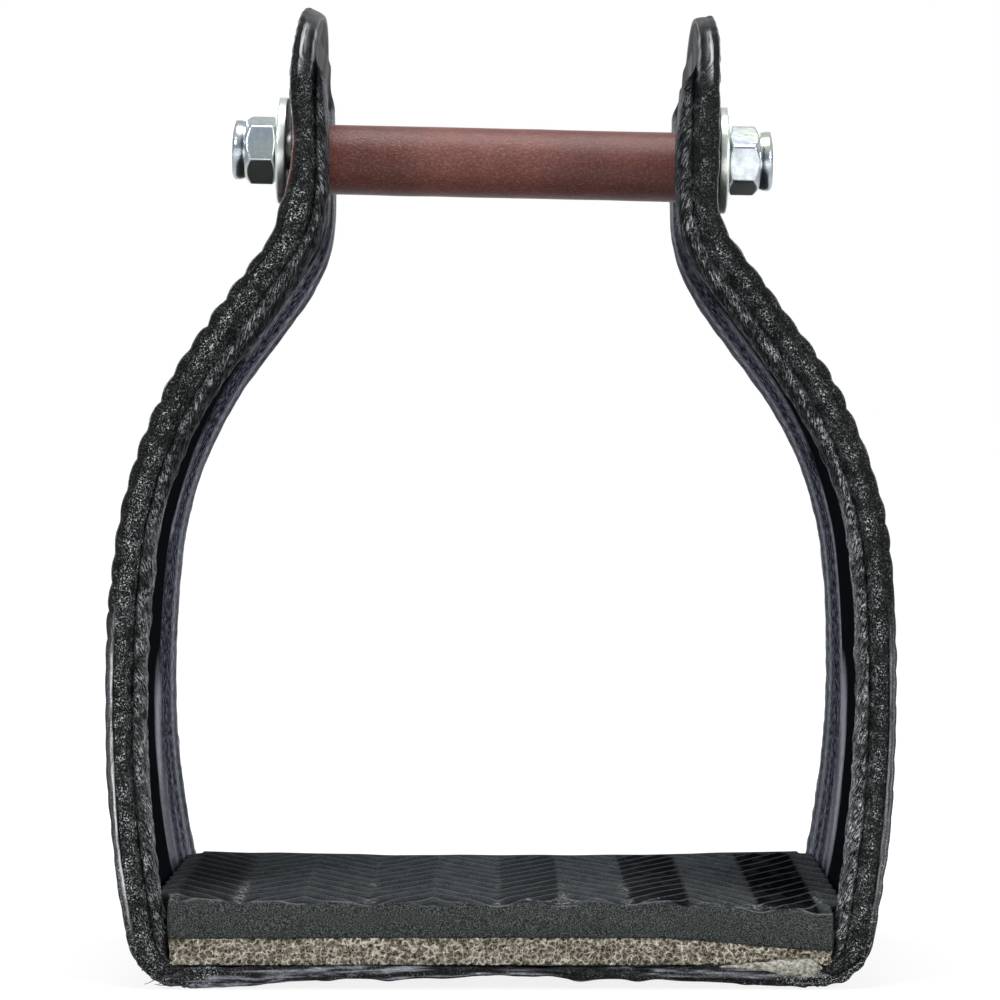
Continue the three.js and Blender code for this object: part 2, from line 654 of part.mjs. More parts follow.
// Height of what lies under the foam: the band, the arm leather's tucked ends and the cover's edge
function foamSeat(x, y) {
  if (Math.abs(y) > BASE_DEPTH / 2 - FOAM_LIP) return LIP_HEIGHT + LAYER_GAP;
  if (Math.abs(x) > TUCK_START - LIP_END_GAP) return WEB + LAYER_GAP;
  return BAND_INNER + LAYER_GAP + archHeight(x);
}

// Tan layer: its underside steps down over the cover's edges and is cut back at the corners
function treadFoam() {
  const inner = evenly(8, TUCK_START - FOAM_END_RUN);
  const outer = [TUCK_START - 0.9, TUCK_START - 0.3, BASE_HALF - 0.8, TREAD_FRONT_HALF];
  const columns = [...outer.map((x) => -x).reverse(), ...inner, ...outer];
  const lipStart = BASE_DEPTH / 2 - FOAM_LIP;
  const neckRows = [ROLL_INNER, ROLL_INNER + TREAD_NECK_IN];
  const edgeRows = [...neckRows, lipStart - 0.15, lipStart + 0.15, TREAD_HALF_DEPTH];
  const rows = [...edgeRows.map((y) => -y).reverse(), 0, ...edgeRows];
  const point = (i, j, top) => {
    const y = rows[j];
    const last = i === 0 || i === columns.length - 1;
    const x = last && top ? Math.sign(columns[i]) * treadHalfWidth(y, FOAM_TOP) : columns[i];
    if (top) return handBent(x, y, FOAM_TOP + treadLift(x, y));
    return handBent(x, y, foamSeat(x, y) + (last ? FOAM_END_RISE : 0));
  };
  return gridBlock(columns, rows, point, () => false);
}

// Glue squeezed out on the cover's edge in front of the foam
function glueBead() {
  const geometry = new THREE.SphereGeometry(0.5, 14, 8);
  geometry.scale(GLUE_LENGTH, GLUE_DEPTH, GLUE_HEIGHT);
  const y = -(TREAD_HALF_DEPTH + 0.12 + GLUE_DEPTH / 2);
  geometry.translate(TREAD_FRONT_HALF - GLUE_FROM_END, y, LIP_HEIGHT + 0.15 + GLUE_HEIGHT / 2);
  return closedBody(geometry);
}

const stirrup = new THREE.Group();

function addPiece(parent, name, geometry, look) {
  const piece = new THREE.Mesh(geometry, new THREE.MeshStandardMaterial(look));
  piece.name = name;
  parent.add(piece);
  return piece;
}

addPiece(stirrup, 'frame_band', frameBand(), STEEL);
addPiece(stirrup, 'outer_leather', outerLeather(), LEATHER);
addPiece(stirrup, 'tread_foam', treadFoam(), FOAM);
addPiece(stirrup, 'tread_rubber', treadRubber(), RUBBER);
addPiece(stirrup, 'glue_bead', glueBead(), GLUE);

const pinGroup = new THREE.Group();
pinGroup.position.set(TOP_SWAY, 0, PIN_Z);
pinGroup.rotation.y = PIN_TILT;
stirrup.add(pinGroup);
addPiece(pinGroup, 'roller', roller(), PAINT).position.z = -ROLLER_HANG;
addPiece(pinGroup, 'pin_rod', pinRod(), STEEL).position.x = ROD_SHIFT;

const SIDES = [
  { name: 'left', side: -1, nutTurn: NUT_TURN_LEFT },
  { name: 'right', side: 1, nutTurn: NUT_TURN_RIGHT },
];

SIDES.forEach(({ name, side, nutTurn }) => {
  addPiece(stirrup, `arm_leather_${name}`, armLeather(side), LINING);
  addPiece(stirrup, `seam_thread_front_${name}`, seamThread(side, -1), THREAD);
  addPiece(stirrup, `seam_thread_rear_${name}`, seamThread(side, 1), THREAD);
  const end = new THREE.Group();
  end.position.x = ROD_SHIFT;
  end.rotation.z = side < 0 ? Math.PI : 0;
  pinGroup.add(end);
  addPiece(end, `washer_${name}`, washer(), ZINC);
  const nut = addPiece(end, `lock_nut_${name}`, lockNut(), ZINC);
  nut.rotation.x = radians(nutTurn);
  addPiece(end, `nylon_insert_${name}`, nylonInsert(), NYLON);
});

export default stirrup;
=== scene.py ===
"""Endurance stirrup: the looks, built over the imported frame. Lengths are in mm until a mesh is made."""

import math

import bmesh
import bpy
import numpy as np
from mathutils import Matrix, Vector


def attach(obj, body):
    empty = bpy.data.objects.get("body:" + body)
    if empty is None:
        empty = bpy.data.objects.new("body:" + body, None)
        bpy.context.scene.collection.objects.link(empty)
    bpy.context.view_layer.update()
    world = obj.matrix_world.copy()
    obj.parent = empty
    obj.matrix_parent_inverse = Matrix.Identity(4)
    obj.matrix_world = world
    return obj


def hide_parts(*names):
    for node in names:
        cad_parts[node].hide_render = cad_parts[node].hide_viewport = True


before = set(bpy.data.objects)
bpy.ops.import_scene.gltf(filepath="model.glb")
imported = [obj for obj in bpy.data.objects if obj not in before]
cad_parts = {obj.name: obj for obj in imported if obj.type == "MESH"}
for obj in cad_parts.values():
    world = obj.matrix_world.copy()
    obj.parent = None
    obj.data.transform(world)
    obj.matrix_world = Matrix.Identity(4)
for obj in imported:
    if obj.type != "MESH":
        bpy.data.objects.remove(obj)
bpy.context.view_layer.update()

# Sizes as in the solids: the outline of the cover's outer face, its bends and depths, and the hardware
BASE_HALF = 62.8
FOOT_LENGTH = 12
BASE_ARCH = 2
CORNER_RADIUS = 11
ARM_LEAN = 10
LOWER_ARM = 8.6
SIDE_RADIUS = 245
SIDE_END_LEAN = 5.4
HIP_RADIUS = 90
SLOPE_LEAN = 36.4
SLOPE_LENGTH = 23.25
NECK_RADIUS = 19
PIN_ABOVE_NECK = 8.9
EAR_ABOVE_PIN = 29.6
RIGHT_EAR_DROP = 1.9
TOP_SWAY = 0.8
ROD_SHIFT = -0.35
BENT_RUN = 90
LEFT_EAR_LEAN = 5.5
RIGHT_EAR_LEAN = -1.5
LEFT_ARM_BOW = 0.7
BOW_HEIGHT = 95
BOW_REACH = 60
BASE_DEPTH = 100
ARM_DEPTH = 84
EAR_DEPTH = 79
BASE_FLARE = 50
NECK_TAPER = 75
EAR_CROWN_RADIUS = 80
EAR_CORNER_RADIUS = 14
TAB_HEIGHT = 9
TAB_LEAN = 1.5
TAB_BEND_RADIUS = 12
TUCK_LENGTH = 4.7
ROD_RADIUS = 3.97
ROLLER_RADIUS = 7.25
ROLLER_WALL = 1.35
WASHER_RADIUS = 11.1
WASHER_THICK = 2.2
WASHER_STAND_OFF = 1.3
NUT_FLATS = 12.7
NUT_HEIGHT = 9.1
NUT_HEX_HEIGHT = 6.3
NUT_TURN = {-1: 10.2, 1: -10.4}
COLLAR_RADIUS = 6.2
BAND_INNER = 4
WEB = 5.7
ARCH_HALF = BASE_HALF - FOOT_LENGTH


def arc(radius, turn):
    return radius * abs(math.radians(turn)), math.radians(turn)


TAB_RUN = (TAB_HEIGHT - TAB_BEND_RADIUS * math.sin(math.radians(TAB_LEAN))) / math.cos(math.radians(TAB_LEAN))
RUNS = [
    (BASE_HALF, 0),
    arc(CORNER_RADIUS, 90 - ARM_LEAN),
    (LOWER_ARM, 0),
    arc(SIDE_RADIUS, ARM_LEAN + SIDE_END_LEAN),
    arc(HIP_RADIUS, SLOPE_LEAN - SIDE_END_LEAN),
    (SLOPE_LENGTH, 0),
    arc(NECK_RADIUS, -SLOPE_LEAN),
    (PIN_ABOVE_NECK + EAR_ABOVE_PIN - TAB_HEIGHT, 0),
    arc(TAB_BEND_RADIUS, TAB_LEAN),
    (TAB_RUN, 0),
]
RUN_ENDS = np.concatenate([[0], np.cumsum([length for length, _ in RUNS])])
CORNER_END, SIDE_ARC_END = RUN_ENDS[2], RUN_ENDS[4]
SLOPE_END, NECK_END, COVER_END = RUN_ENDS[6], RUN_ENDS[7], RUN_ENDS[-1]
ROLL_PEAK = SLOPE_END - 7
TUCK_START = BASE_HALF - TUCK_LENGTH


def smooth(x, low, high):
    t = np.clip((x - low) / (high - low), 0, 1)
    return t * t * (3 - 2 * t)


def lerp(a, b, t):
    return a + (b - a) * t


def bell(x, centre, width):
    return np.exp(-((x - centre) / width) ** 2)


def outline(s):
    """x, z and heading at distances along the right half of the outline."""
    s = np.asarray(s, float)
    x, z, heading = np.zeros_like(s), np.zeros_like(s), np.zeros_like(s)
    begin = 0
    for (length, turn), start in zip(RUNS, RUN_ENDS):
        part = np.clip((s - start) / length, 0, 1)
        half_turn = turn * part / 2
        chord = length * part * np.sinc(half_turn / np.pi)
        x += chord * np.cos(begin + half_turn)
        z += chord * np.sin(begin + half_turn)
        heading += turn * part
        begin += turn
    t = np.minimum(s / ARCH_HALF, 1)
    on_base = s < BASE_HALF
    z = np.where(on_base, BASE_ARCH * (1 + np.cos(np.pi * t)) / 2, z)
    slope = -BASE_ARCH * np.pi * np.sin(np.pi * t) / (2 * ARCH_HALF)
    return x, z, np.where(on_base, np.arctan(slope), heading)


EAR_X = float(outline(NECK_END)[0])
PIN_Z = float(outline(NECK_END)[1]) + PIN_ABOVE_NECK
PIN_TILT = math.atan(RIGHT_EAR_DROP / (2 * EAR_X))


def bent(x, y, z):
    """Places on the hand-bent band, from places on the true mirror shape."""
    grown = smooth(z, PIN_Z - BENT_RUN, PIN_Z - PIN_ABOVE_NECK)
    ear_lean = np.radians(np.where(x < 0, LEFT_EAR_LEAN, -RIGHT_EAR_LEAN))
    lean = np.maximum(z - PIN_Z - WASHER_RADIUS, 0) * np.tan(ear_lean)
    bow = np.where(x < 0, LEFT_ARM_BOW * (1 - smooth(np.abs(z - BOW_HEIGHT), 0, BOW_REACH)), 0)
    return np.stack([x + grown * TOP_SWAY + lean + bow, y, z - grown * RIGHT_EAR_DROP * x / (2 * EAR_X)], -1)


def swell(side, y, z):
    """How far the cover stands out: pressed in at the pin's height, proud below it and under the washer."""
    round_pin = np.hypot(y, z - PIN_Z)
    seat = (0.95 if side < 0 else 0.75) * (1 - smooth(round_pin, WASHER_RADIUS - 1, WASHER_RADIUS + 6))
    at_edge = smooth(np.abs(y), 22, 36)
    if side < 0:
        edge = 1.15 * bell(z, PIN_Z - 14, 4.5) - 0.75 * bell(z, PIN_Z, 7)
    else:
        edge = -0.55 * bell(z, PIN_Z - 11, 7)
    return seat + at_edge * edge


def on_cover(side, s, y, u):
    """Points at a distance along the outline, a place front to rear and a depth into the cover."""
    x, z, heading = outline(s)
    near = 1 - smooth(u, 1.9, 4.6)
    x = x + near * swell(side, y, z)
    slant = (0.45 if side < 0 else 0.12) * np.maximum(u - 1, 0) * smooth(s, COVER_END - 12, COVER_END - 3)
    return bent(side * (x - u * np.sin(heading)), y, z + u * np.cos(heading) - slant)


def half_depth(s):
    low = 1 - smooth(s, CORNER_END, CORNER_END + BASE_FLARE)
    high = smooth(s, NECK_END - NECK_TAPER, NECK_END)
    return lerp(lerp(ARM_DEPTH, EAR_DEPTH, high), BASE_DEPTH, low) / 2


LATTICE_SIZE = 48
LATTICE = np.random.default_rng(11).uniform(-1, 1, (LATTICE_SIZE,) * 3)


def noise(a, b, c):
    """Smooth noise from -1 to 1 over three coordinates, one cell to a unit."""
    p = np.stack(np.broadcast_arrays(a, b, c), -1).astype(float)
    cell = np.floor(p)
    f = p - cell
    f = f * f * (3 - 2 * f)
    i = cell.astype(int) % LATTICE_SIZE
    j = (i + 1) % LATTICE_SIZE
    total = 0
    for k in range(8):
        at = [np.where(k >> axis & 1, j[..., axis], i[..., axis]) for axis in range(3)]
        weight = 1
        for axis in range(3):
            weight = weight * (f[..., axis] if k >> axis & 1 else 1 - f[..., axis])
        total = total + weight * LATTICE[at[0], at[1], at[2]]
    return total


def add_weights(mesh, weights):
    for key, values in (weights or {}).items():
        layer = mesh.attributes.new(key, "FLOAT", "POINT")
        layer.data.foreach_set("value", np.asarray(values, np.float32).ravel())


def add_mesh(name, points, faces, material, replaced, body="stirrup", uv=None, weights=None):
    """A piece made from points in mm, with near-equal points merged and its faces turned outward."""
    mesh = bpy.data.meshes.new(name)
    points = np.asarray(points, float).reshape(-1, 3) / 1000
    mesh.from_pydata(points.tolist(), [], faces)
    add_weights(mesh, weights)
    if uv is not None:
        layer = mesh.uv_layers.new(name="along")
        loops = np.zeros(len(mesh.loops), np.int32)
        mesh.loops.foreach_get("vertex_index", loops)
        layer.data.foreach_set("uv", np.asarray(uv, np.float32).reshape(-1, 2)[loops].ravel())
    work = bmesh.new()
    work.from_mesh(mesh)
    bmesh.ops.remove_doubles(work, verts=work.verts, dist=2e-6)
    bmesh.ops.dissolve_degenerate(work, edges=work.edges, dist=1e-6)
    open_edges = [e for e in work.edges if e.is_boundary]
    if open_edges:
        bmesh.ops.holes_fill(work, edges=open_edges, sides=0)
    bmesh.ops.recalc_face_normals(work, faces=work.faces)
    for face in work.faces:
        face.smooth = True
    work.to_mesh(mesh)
    work.free()
    mesh.materials.append(material)
    piece = bpy.data.objects.new(name, mesh)
    bpy.context.scene.collection.objects.link(piece)
    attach(piece, body)
    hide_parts(replaced)
    return piece


def grid_faces(rows, columns, close_rows=False, close_columns=False, first=0):
    """Quads over a grid of points, row by row."""
    i = np.arange(rows if close_rows else rows - 1)
    j = np.arange(columns if close_columns else columns - 1)
    i, j = np.meshgrid(i, j, indexing="ij")
    k, m = (i + 1) % rows, (j + 1) % columns
    quads = np.stack([i * columns + j, i * columns + m, k * columns + m, k * columns + j], -1)
    return (quads.reshape(-1, 4) + first).tolist()


def ring_faces(grid):
    """Quads over a grid whose rows are closed rings."""
    return grid_faces(*grid.shape[:2], close_columns=True)


def shifted_faces(faces, first):
    return [[k + first for k in face] for face in faces]


# Materials

class Nodes:
    """Short calls that add shader nodes to a tree. Inputs are plain values or sockets of other nodes."""

    def __init__(self, tree):
        self.tree = tree
        self.shader = tree.nodes.get("Principled BSDF")

    def feed(self, node, key, value):
        if isinstance(value, bpy.types.NodeSocket):
            self.tree.links.new(value, node.inputs[key])
        else:
            node.inputs[key].default_value = value

    def add(self, kind, inputs, **settings):
        node = self.tree.nodes.new("ShaderNode" + kind)
        for key, value in settings.items():
            setattr(node, key, value)
        for key, value in inputs.items():
            self.feed(node, key, value)
        return node

    def coordinates(self, kind="Object"):
        return self.add("TexCoord", {}).outputs[kind]

    def noise(self, vector, scale, detail=3.0, rough=0.55, output="Fac"):
        inputs = {"Vector": vector, "Scale": scale, "Detail": detail, "Roughness": rough}
        return self.add("TexNoise", inputs).outputs[output]

    def cells(self, vector, scale, feature="F1"):
        return self.add("TexVoronoi", {"Vector": vector, "Scale": scale}, feature=feature).outputs["Distance"]

    def stretched(self, vector, scale):
        return self.add("Mapping", {"Vector": vector, "Scale": scale}).outputs[0]

    def turned(self, vector, degrees):
        return self.add("Mapping", {"Vector": vector, "Rotation": (0, 0, math.radians(degrees))}).outputs[0]

    def ramp(self, value, *stops):
        """Grey levels at two places of a value, with straight lines between."""
        node = self.add("ValToRGB", {"Fac": value})
        for element, (place, grey) in zip(node.color_ramp.elements, stops):
            element.position = place
            element.color = (grey, grey, grey, 1)
        return node.outputs["Color"]

    def rise(self, value, low, high, top=1):
        return self.ramp(value, (low, 0), (high, top))

    def fall(self, value, low, high, top=1):
        return self.ramp(value, (low, top), (high, 0))

    def mix(self, factor, a, b, blend="MIX"):
        node = self.add("Mix", {}, data_type="RGBA", blend_type=blend)
        for key, value in ((0, factor), (6, a), (7, b)):
            self.feed(node, key, (*value, 1) if isinstance(value, tuple) else value)
        return node.outputs[2]

    def maths(self, operation, a, b):
        return self.add("Math", {0: a, 1: b}, operation=operation).outputs[0]

    def times(self, a, b):
        return self.maths("MULTIPLY", a, b)

    def larger(self, a, b):
        return self.maths("MAXIMUM", a, b)

    def bump(self, height, strength, distance, normal=None):
        inputs = {"Height": height, "Strength": strength, "Distance": distance}
        if normal is not None:
            inputs["Normal"] = normal
        return self.add("Bump", inputs).outputs[0]

    def weight(self, name):
        return self.add("Attribute", {}, attribute_name=name).outputs["Fac"]

    def weights(self, *names):
        return [self.weight(name) for name in names]

    def part_of(self, vector, axis, low, high):
        """0 below one value of a coordinate and 1 above another."""
        value = self.add("SeparateXYZ", {0: vector}).outputs[axis]
        return self.add("MapRange", {"Value": value, "From Min": low, "From Max": high}).outputs[0]

    def finish(self, color, rough, normal=None, **values):
        inputs = {"Base Color": color, "Roughness": rough}
        if normal is not None:
            inputs["Normal"] = normal
        for key, value in values.items():
            inputs[key.replace("_", " ")] = value
        for key, value in inputs.items():
            self.feed(self.shader, key, value)


def new_material(name):
    material = bpy.data.materials.new(name)
    material.use_nodes = True
    return material, Nodes(material.node_tree)


def leather_marks(t, color, place, along, fine, streaks):
    """The blue-black flank with a painted pale-blue reflection along its streaks, painted highlight lines,
    matt web, worn or cut places, and painted glints, laid over the leather's colour.
    """
    web, flank, line, raw, glint, tan = t.weights("web", "flank", "line", "raw", "glint", "tan")
    streak_sheen = t.rise(streaks, 0.46, 0.66)
    # painted reflection: the flank's pale blue-grey streaks stand in for the lit flank mirroring light;
    # between them it is blue-black
    color = t.mix(flank, color, t.mix(streak_sheen, (0.006, 0.007, 0.012), (0.215, 0.225, 0.3)))
    # painted highlight lines: pale lines along the lining's fold and crest, the cover's lip layers and open
    # seam
    shown = t.times(line, t.maths("ADD", 0.45, t.times(streak_sheen, 0.55)))
    color = t.mix(shown, color, (0.66, 0.67, 0.76))
    pores = t.rise(fine, 0.42, 0.62)
    color = t.mix(web, color, t.mix(pores, (0.0035, 0.0042, 0.0055), (0.0105, 0.012, 0.015)))
    worn = t.ramp(t.noise(place, 1400, 4, 0.7), (0.3, 0.3), (0.7, 1))
    color = t.mix(raw, color, t.mix(1.0, worn, (0.066, 0.07, 0.072), "MULTIPLY"))
    color = t.mix(t.times(tan, worn), color, (0.2, 0.055, 0.045))
    # painted glint: a patchy pale highlight strip along the cover's open seam and on the ears' tabs
    patchy = t.ramp(t.noise(t.stretched(along, (2, 20, 1)), 10, 3, 0.6), (0.38, 0.15), (0.54, 1))
    return t.mix(t.times(glint, patchy), color, (0.9, 0.91, 0.92))


def leather_material(name, dark, light, grain, rough, level):
    """Black leather. Weights say where it is grained with painted sparkle, creased with painted sheen, matt,
    blue-black with a painted pale-blue reflection, crossed by painted highlight lines and glints, or cut and
    worn grey.
    """
    material, t = new_material(name)
    place, along = t.coordinates(), t.coordinates("UV")
    grain_and_sparkle, creases_and_sheen, web, flank, raw = t.weights("grain_and_sparkle", "creases_and_sheen", "web", "flank", "raw")
    calm = t.larger(t.times(flank, 0.8), t.times(raw, 0.85))
    shiny = t.maths("SUBTRACT", 1.0, t.larger(web, calm))
    blotch = t.noise(place, 120, 4)
    color = t.mix(t.rise(blotch, 0.38, 0.68), dark, light)
    fine = t.noise(place, grain, 3, 0.6)
    sparkle_streaks = t.noise(t.stretched(t.turned(along, -18), (16, 40, 1)), 14, 3, 0.65)
    clusters = t.ramp(t.noise(place, 330, 3, 0.6), (0.42, 0.2), (0.57, 1))
    # painted sparkle: pale highlight specks painted into the colour on grain peaks and short streaks, in
    # clusters
    painted_sparkle = t.larger(t.rise(fine, 0.57, 0.66), t.rise(sparkle_streaks, 0.58, 0.66))
    painted_sparkle = t.times(t.times(painted_sparkle, clusters), t.times(grain_and_sparkle, shiny))
    color = t.mix(painted_sparkle, color, (0.92, 0.95, 0.95))
    folds = t.noise(t.stretched(t.turned(along, -28), (6, 34, 1)), 10, 3, 0.6)
    # painted sheen: pale highlight dashes painted into the colour along the creases
    painted_sheen = t.times(t.rise(folds, 0.53, 0.6), clusters)
    color = t.mix(t.times(painted_sheen, creases_and_sheen), color, (0.92, 0.95, 0.96))
    streaks = t.noise(t.stretched(along, (6, 36, 1)), 10, 3, 0.65)
    color = leather_marks(t, color, place, along, fine, streaks)
    height = t.maths("ADD", t.times(t.cells(place, grain * 0.8), -0.6), fine)
    normal = t.bump(height, shiny, 0.0006)
    normal = t.bump(folds, t.times(creases_and_sheen, 0.9), 0.0009, normal)
    normal = t.bump(streaks, t.times(flank, 0.5), 0.0004, normal)
    spread = t.ramp(blotch, (0.3, rough - 0.05), (0.7, rough + 0.12))
    t.finish(color, spread, normal, Specular_IOR_Level=t.times(shiny, level))
    return material


def metal_material(name, tint, dull, rough, scale=260):
    """Plated or plain steel, clouded and faintly speckled; the soft weight makes it paler and duller."""
    material, t = new_material(name)
    place = t.coordinates()
    soft = t.weight("soft")
    cloud = t.noise(place, scale, 6, 0.65)
    color = t.mix(t.rise(cloud, 0.35, 0.7), dull, tint)
    color = t.mix(t.times(soft, 0.8), color, (0.84, 0.87, 0.8))
    color = t.mix(t.rise(t.noise(place, 130, 2, 0.5), 0.46, 0.66, 0.6), color, (0.8, 0.84, 0.66))
    specks = t.noise(place, 2200, 3, 0.7)
    color = t.mix(t.rise(specks, 0.52, 0.66, 0.35), color, (0.45, 0.52, 0.62))
    spread = t.ramp(cloud, (0.3, rough + 0.1), (0.75, rough - 0.05))
    spread = t.maths("ADD", spread, t.times(soft, 0.1))
    normal = t.bump(specks, 0.35, 0.00008)
    t.finish(color, spread, t.bump(cloud, 0.3, 0.0003, normal), Metallic=1.0)
    return material


def paint_material():
    material, t = new_material("roller_paint")
    place = t.coordinates()
    broad = t.noise(place, 60, 4, 0.6)
    color = t.mix(t.rise(broad, 0.35, 0.65), (0.11, 0.022, 0.013), (0.165, 0.042, 0.027))
    mottle = t.noise(t.stretched(place, (0.6, 1, 1)), 2600, 4, 0.7)
    color = t.mix(t.rise(mottle, 0.5, 0.66, 0.5), color, (0.36, 0.15, 0.12))
    color = t.mix(t.fall(mottle, 0.34, 0.47, 0.7), color, (0.05, 0.011, 0.008))
    color = t.mix(t.fall(t.cells(place, 420), 0, 0.12), color, (0.035, 0.01, 0.008))
    height = t.maths("ADD", mottle, t.times(broad, 2.0))
    t.finish(color, t.ramp(mottle, (0.35, 0.3), (0.7, 0.46)), t.bump(height, 0.5, 0.0003))
    return material


def rubber_material():
    """Cut sides are speckled; the top is dark and matt, with pale rib crests, painted shade in the grooves
    and painted shade on alternate columns.
    """
    material, t = new_material("black_rubber")
    place = t.coordinates()
    raw, rib, groove, painted_column_shade, dust = t.weights("raw", "rib", "groove", "painted_column_shade", "dust")
    grain = t.noise(place, 3900, 3, 0.75)
    broad = t.noise(place, 160, 4, 0.6)
    cut = t.mix(t.rise(grain, 0.47, 0.62), (0.005, 0.006, 0.0056), (0.125, 0.138, 0.131))
    cut = t.mix(t.fall(t.cells(place, 210), 0, 0.06, 0.85), cut, (0.42, 0.42, 0.38))
    top = t.mix(t.rise(broad, 0.35, 0.65), (0.023, 0.027, 0.028), (0.046, 0.052, 0.053))
    top = t.mix(t.rise(grain, 0.48, 0.66, 0.7), top, (0.16, 0.17, 0.175))
    # painted shade: the grooves between ribs turn near-black
    top = t.mix(groove, top, (0.007, 0.009, 0.01))
    # painted shade: alternate columns turn near-black
    top = t.mix(t.times(painted_column_shade, t.ramp(broad, (0.3, 0.55), (0.5, 1))), top, (0.004, 0.005, 0.006))
    top = t.mix(t.times(rib, t.ramp(grain, (0.3, 0.4), (0.6, 1))), top, (0.19, 0.2, 0.21))
    worn = t.rise(t.noise(place, 1100, 4, 0.8), 0.5, 0.62)
    top = t.mix(t.times(dust, worn), top, (0.4, 0.4, 0.4))
    t.finish(t.mix(raw, top, cut), 0.7, t.bump(grain, 0.5, 0.0002), Specular_IOR_Level=t.times(raw, 0.25))
    return material


def foam_material():
    """Thin pale walls round dark cells; the dark cells and the deep weight are painted shade inside the
    pores.
    """
    material, t = new_material("tan_foam")
    place = t.coordinates()
    deep = t.weight("deep")
    warp = t.noise(place, 900, 2, 0.5, "Color")
    pushed = t.add("VectorMath", {0: warp, 1: (0.0011, 0.0011, 0.0011)}, operation="MULTIPLY").outputs[0]
    pushed = t.add("VectorMath", {0: pushed, 1: place}, operation="ADD").outputs[0]
    walls, lesser = (t.cells(pushed, scale, "DISTANCE_TO_EDGE") for scale in (800, 1500))
    tint = t.rise(t.noise(place, 500, 4), 0.35, 0.7)
    wall = t.mix(tint, (0.42, 0.37, 0.28), (0.85, 0.79, 0.66))
    cell = t.mix(tint, (0.04, 0.031, 0.022), (0.17, 0.14, 0.105))
    inside = t.times(t.rise(walls, 0.03, 0.14), t.ramp(lesser, (0.02, 0.45), (0.12, 1)))
    # painted shade: deep pores turn darker
    color = t.mix(t.times(deep, 0.55), t.mix(inside, wall, cell), (0.03, 0.022, 0.014))
    t.finish(color, 0.85, t.bump(walls, 0.9, 0.0008), Specular_IOR_Level=0.25)
    return material


def plain_material(name, light, dark, rough, scale, strength):
    material, t = new_material(name)
    cloud = t.noise(t.coordinates(), scale, 5, 0.6)
    t.finish(t.mix(t.rise(cloud, 0.35, 0.65), dark, light), rough, t.bump(cloud, strength, 0.0004))
    return material


COVER = leather_material("cover_leather", (0.003, 0.0037, 0.0035), (0.0085, 0.01, 0.0096), 2700, 0.34, 0.115)
LINING = leather_material(
    "lining_leather", (0.0025, 0.0031, 0.0031), (0.0075, 0.0087, 0.0085), 2600, 0.28, 0.14)
THREAD = leather_material("waxed_thread", (0.004, 0.004, 0.004), (0.012, 0.012, 0.012), 3000, 0.55, 0.2)
ZINC = metal_material("zinc_plate", (0.76, 0.785, 0.79), (0.44, 0.49, 0.54), 0.18)
STEEL = metal_material("rod_steel", (0.6, 0.6, 0.6), (0.35, 0.34, 0.33), 0.35)
BAND = metal_material("band_steel", (0.5, 0.5, 0.5), (0.28, 0.28, 0.28), 0.5)
PAINT = paint_material()
RUBBER = rubber_material()
FOAM = foam_material()
GLUE = plain_material("dried_glue", (0.6, 0.575, 0.49), (0.08, 0.075, 0.06), 0.5, 1500, 0.9)
NYLON = plain_material("nylon", (0.75, 0.74, 0.68), (0.62, 0.6, 0.54), 0.45, 500, 0.1)

# The leather: sections along its edge, each from the middle of one face round the edge to the other

SIDES = {-1: "left", 1: "right"}
EDGES = {-1: "front", 1: "rear"}
STITCH_PITCH = 6.0
SEAM_INSET = 2.6
EDGE_BAND = 12  # width of the rolled and sewn edge; further in, lines run to the cover's middle
FILLET_Y = EAR_DEPTH / 2 - EAR_CORNER_RADIUS
CROWN_CENTRE = COVER_END - EAR_CROWN_RADIUS
FILLET_S = CROWN_CENTRE + math.sqrt((EAR_CROWN_RADIUS - EAR_CORNER_RADIUS) ** 2 - FILLET_Y ** 2)
FILLET_TURN = math.atan2(FILLET_S - CROWN_CENTRE, FILLET_Y)
FAN_START = NECK_END + 2


def edge_stations(start, step):
    """Places along the rear edge of one half, from the base up and over the ear's top to its middle:
    distance s, place y, inward normal, length along the edge, and where the line inward ends."""
    sides = np.linspace(start, FILLET_S, int((FILLET_S - start) / step) + 1)[:-1]
    turns = np.linspace(0, FILLET_TURN, int(EAR_CORNER_RADIUS * FILLET_TURN / step) + 1)[:-1]
    crown_turn = math.pi / 2 - FILLET_TURN
    crown = np.linspace(crown_turn, 0, int(EAR_CROWN_RADIUS * crown_turn / step) + 1)
    fillet_s = FILLET_S + EAR_CORNER_RADIUS * np.sin(turns)
    fillet_y = FILLET_Y + EAR_CORNER_RADIUS * np.cos(turns)
    s = np.concatenate([sides, fillet_s, CROWN_CENTRE + EAR_CROWN_RADIUS * np.cos(crown)])
    y = np.concatenate([half_depth(sides), fillet_y, EAR_CROWN_RADIUS * np.sin(crown)])
    normal_s = np.concatenate([0 * sides, -np.sin(turns), -np.cos(crown)])
    normal_y = np.concatenate([0 * sides - 1, -np.cos(turns), -np.sin(crown)])
    length = start + np.concatenate([[0], np.cumsum(np.hypot(np.diff(s), np.diff(y)))])
    fan = np.clip((length - FAN_START) / (length[-1] - FAN_START), 0, None)
    middle = np.where(s < FAN_START, s, FAN_START + fan * (COVER_END - EDGE_BAND - FAN_START))
    return {"s": s, "y": y, "ns": normal_s, "ny": normal_y, "q": length, "middle": middle}


def spline(points, parts):
    """Catmull-Rom curve through control points on axis 1, cut into the given parts per stretch."""
    count = points.shape[1]
    made = []
    for k in range(count - 1):
        a, b, c, d = (points[:, min(max(k + o, 0), count - 1), None] for o in (-1, 0, 1, 2))
        t = (np.arange(parts[k]) / parts[k])[None, :, None]
        curve = 2 * b + (c - a) * t + (2 * a - 5 * b + 4 * c - d) * t ** 2 + (3 * b - a - 3 * c + d) * t ** 3
        made.append(0.5 * curve)
    made.append(points[:, -1:])
    return np.concatenate(made, 1)


def across_lengths(line):
    """Length so far along lines of (inset, depth) points on axis 0."""
    return np.concatenate([[0], np.cumsum(np.hypot(*np.diff(line, axis=0).T))])[None]


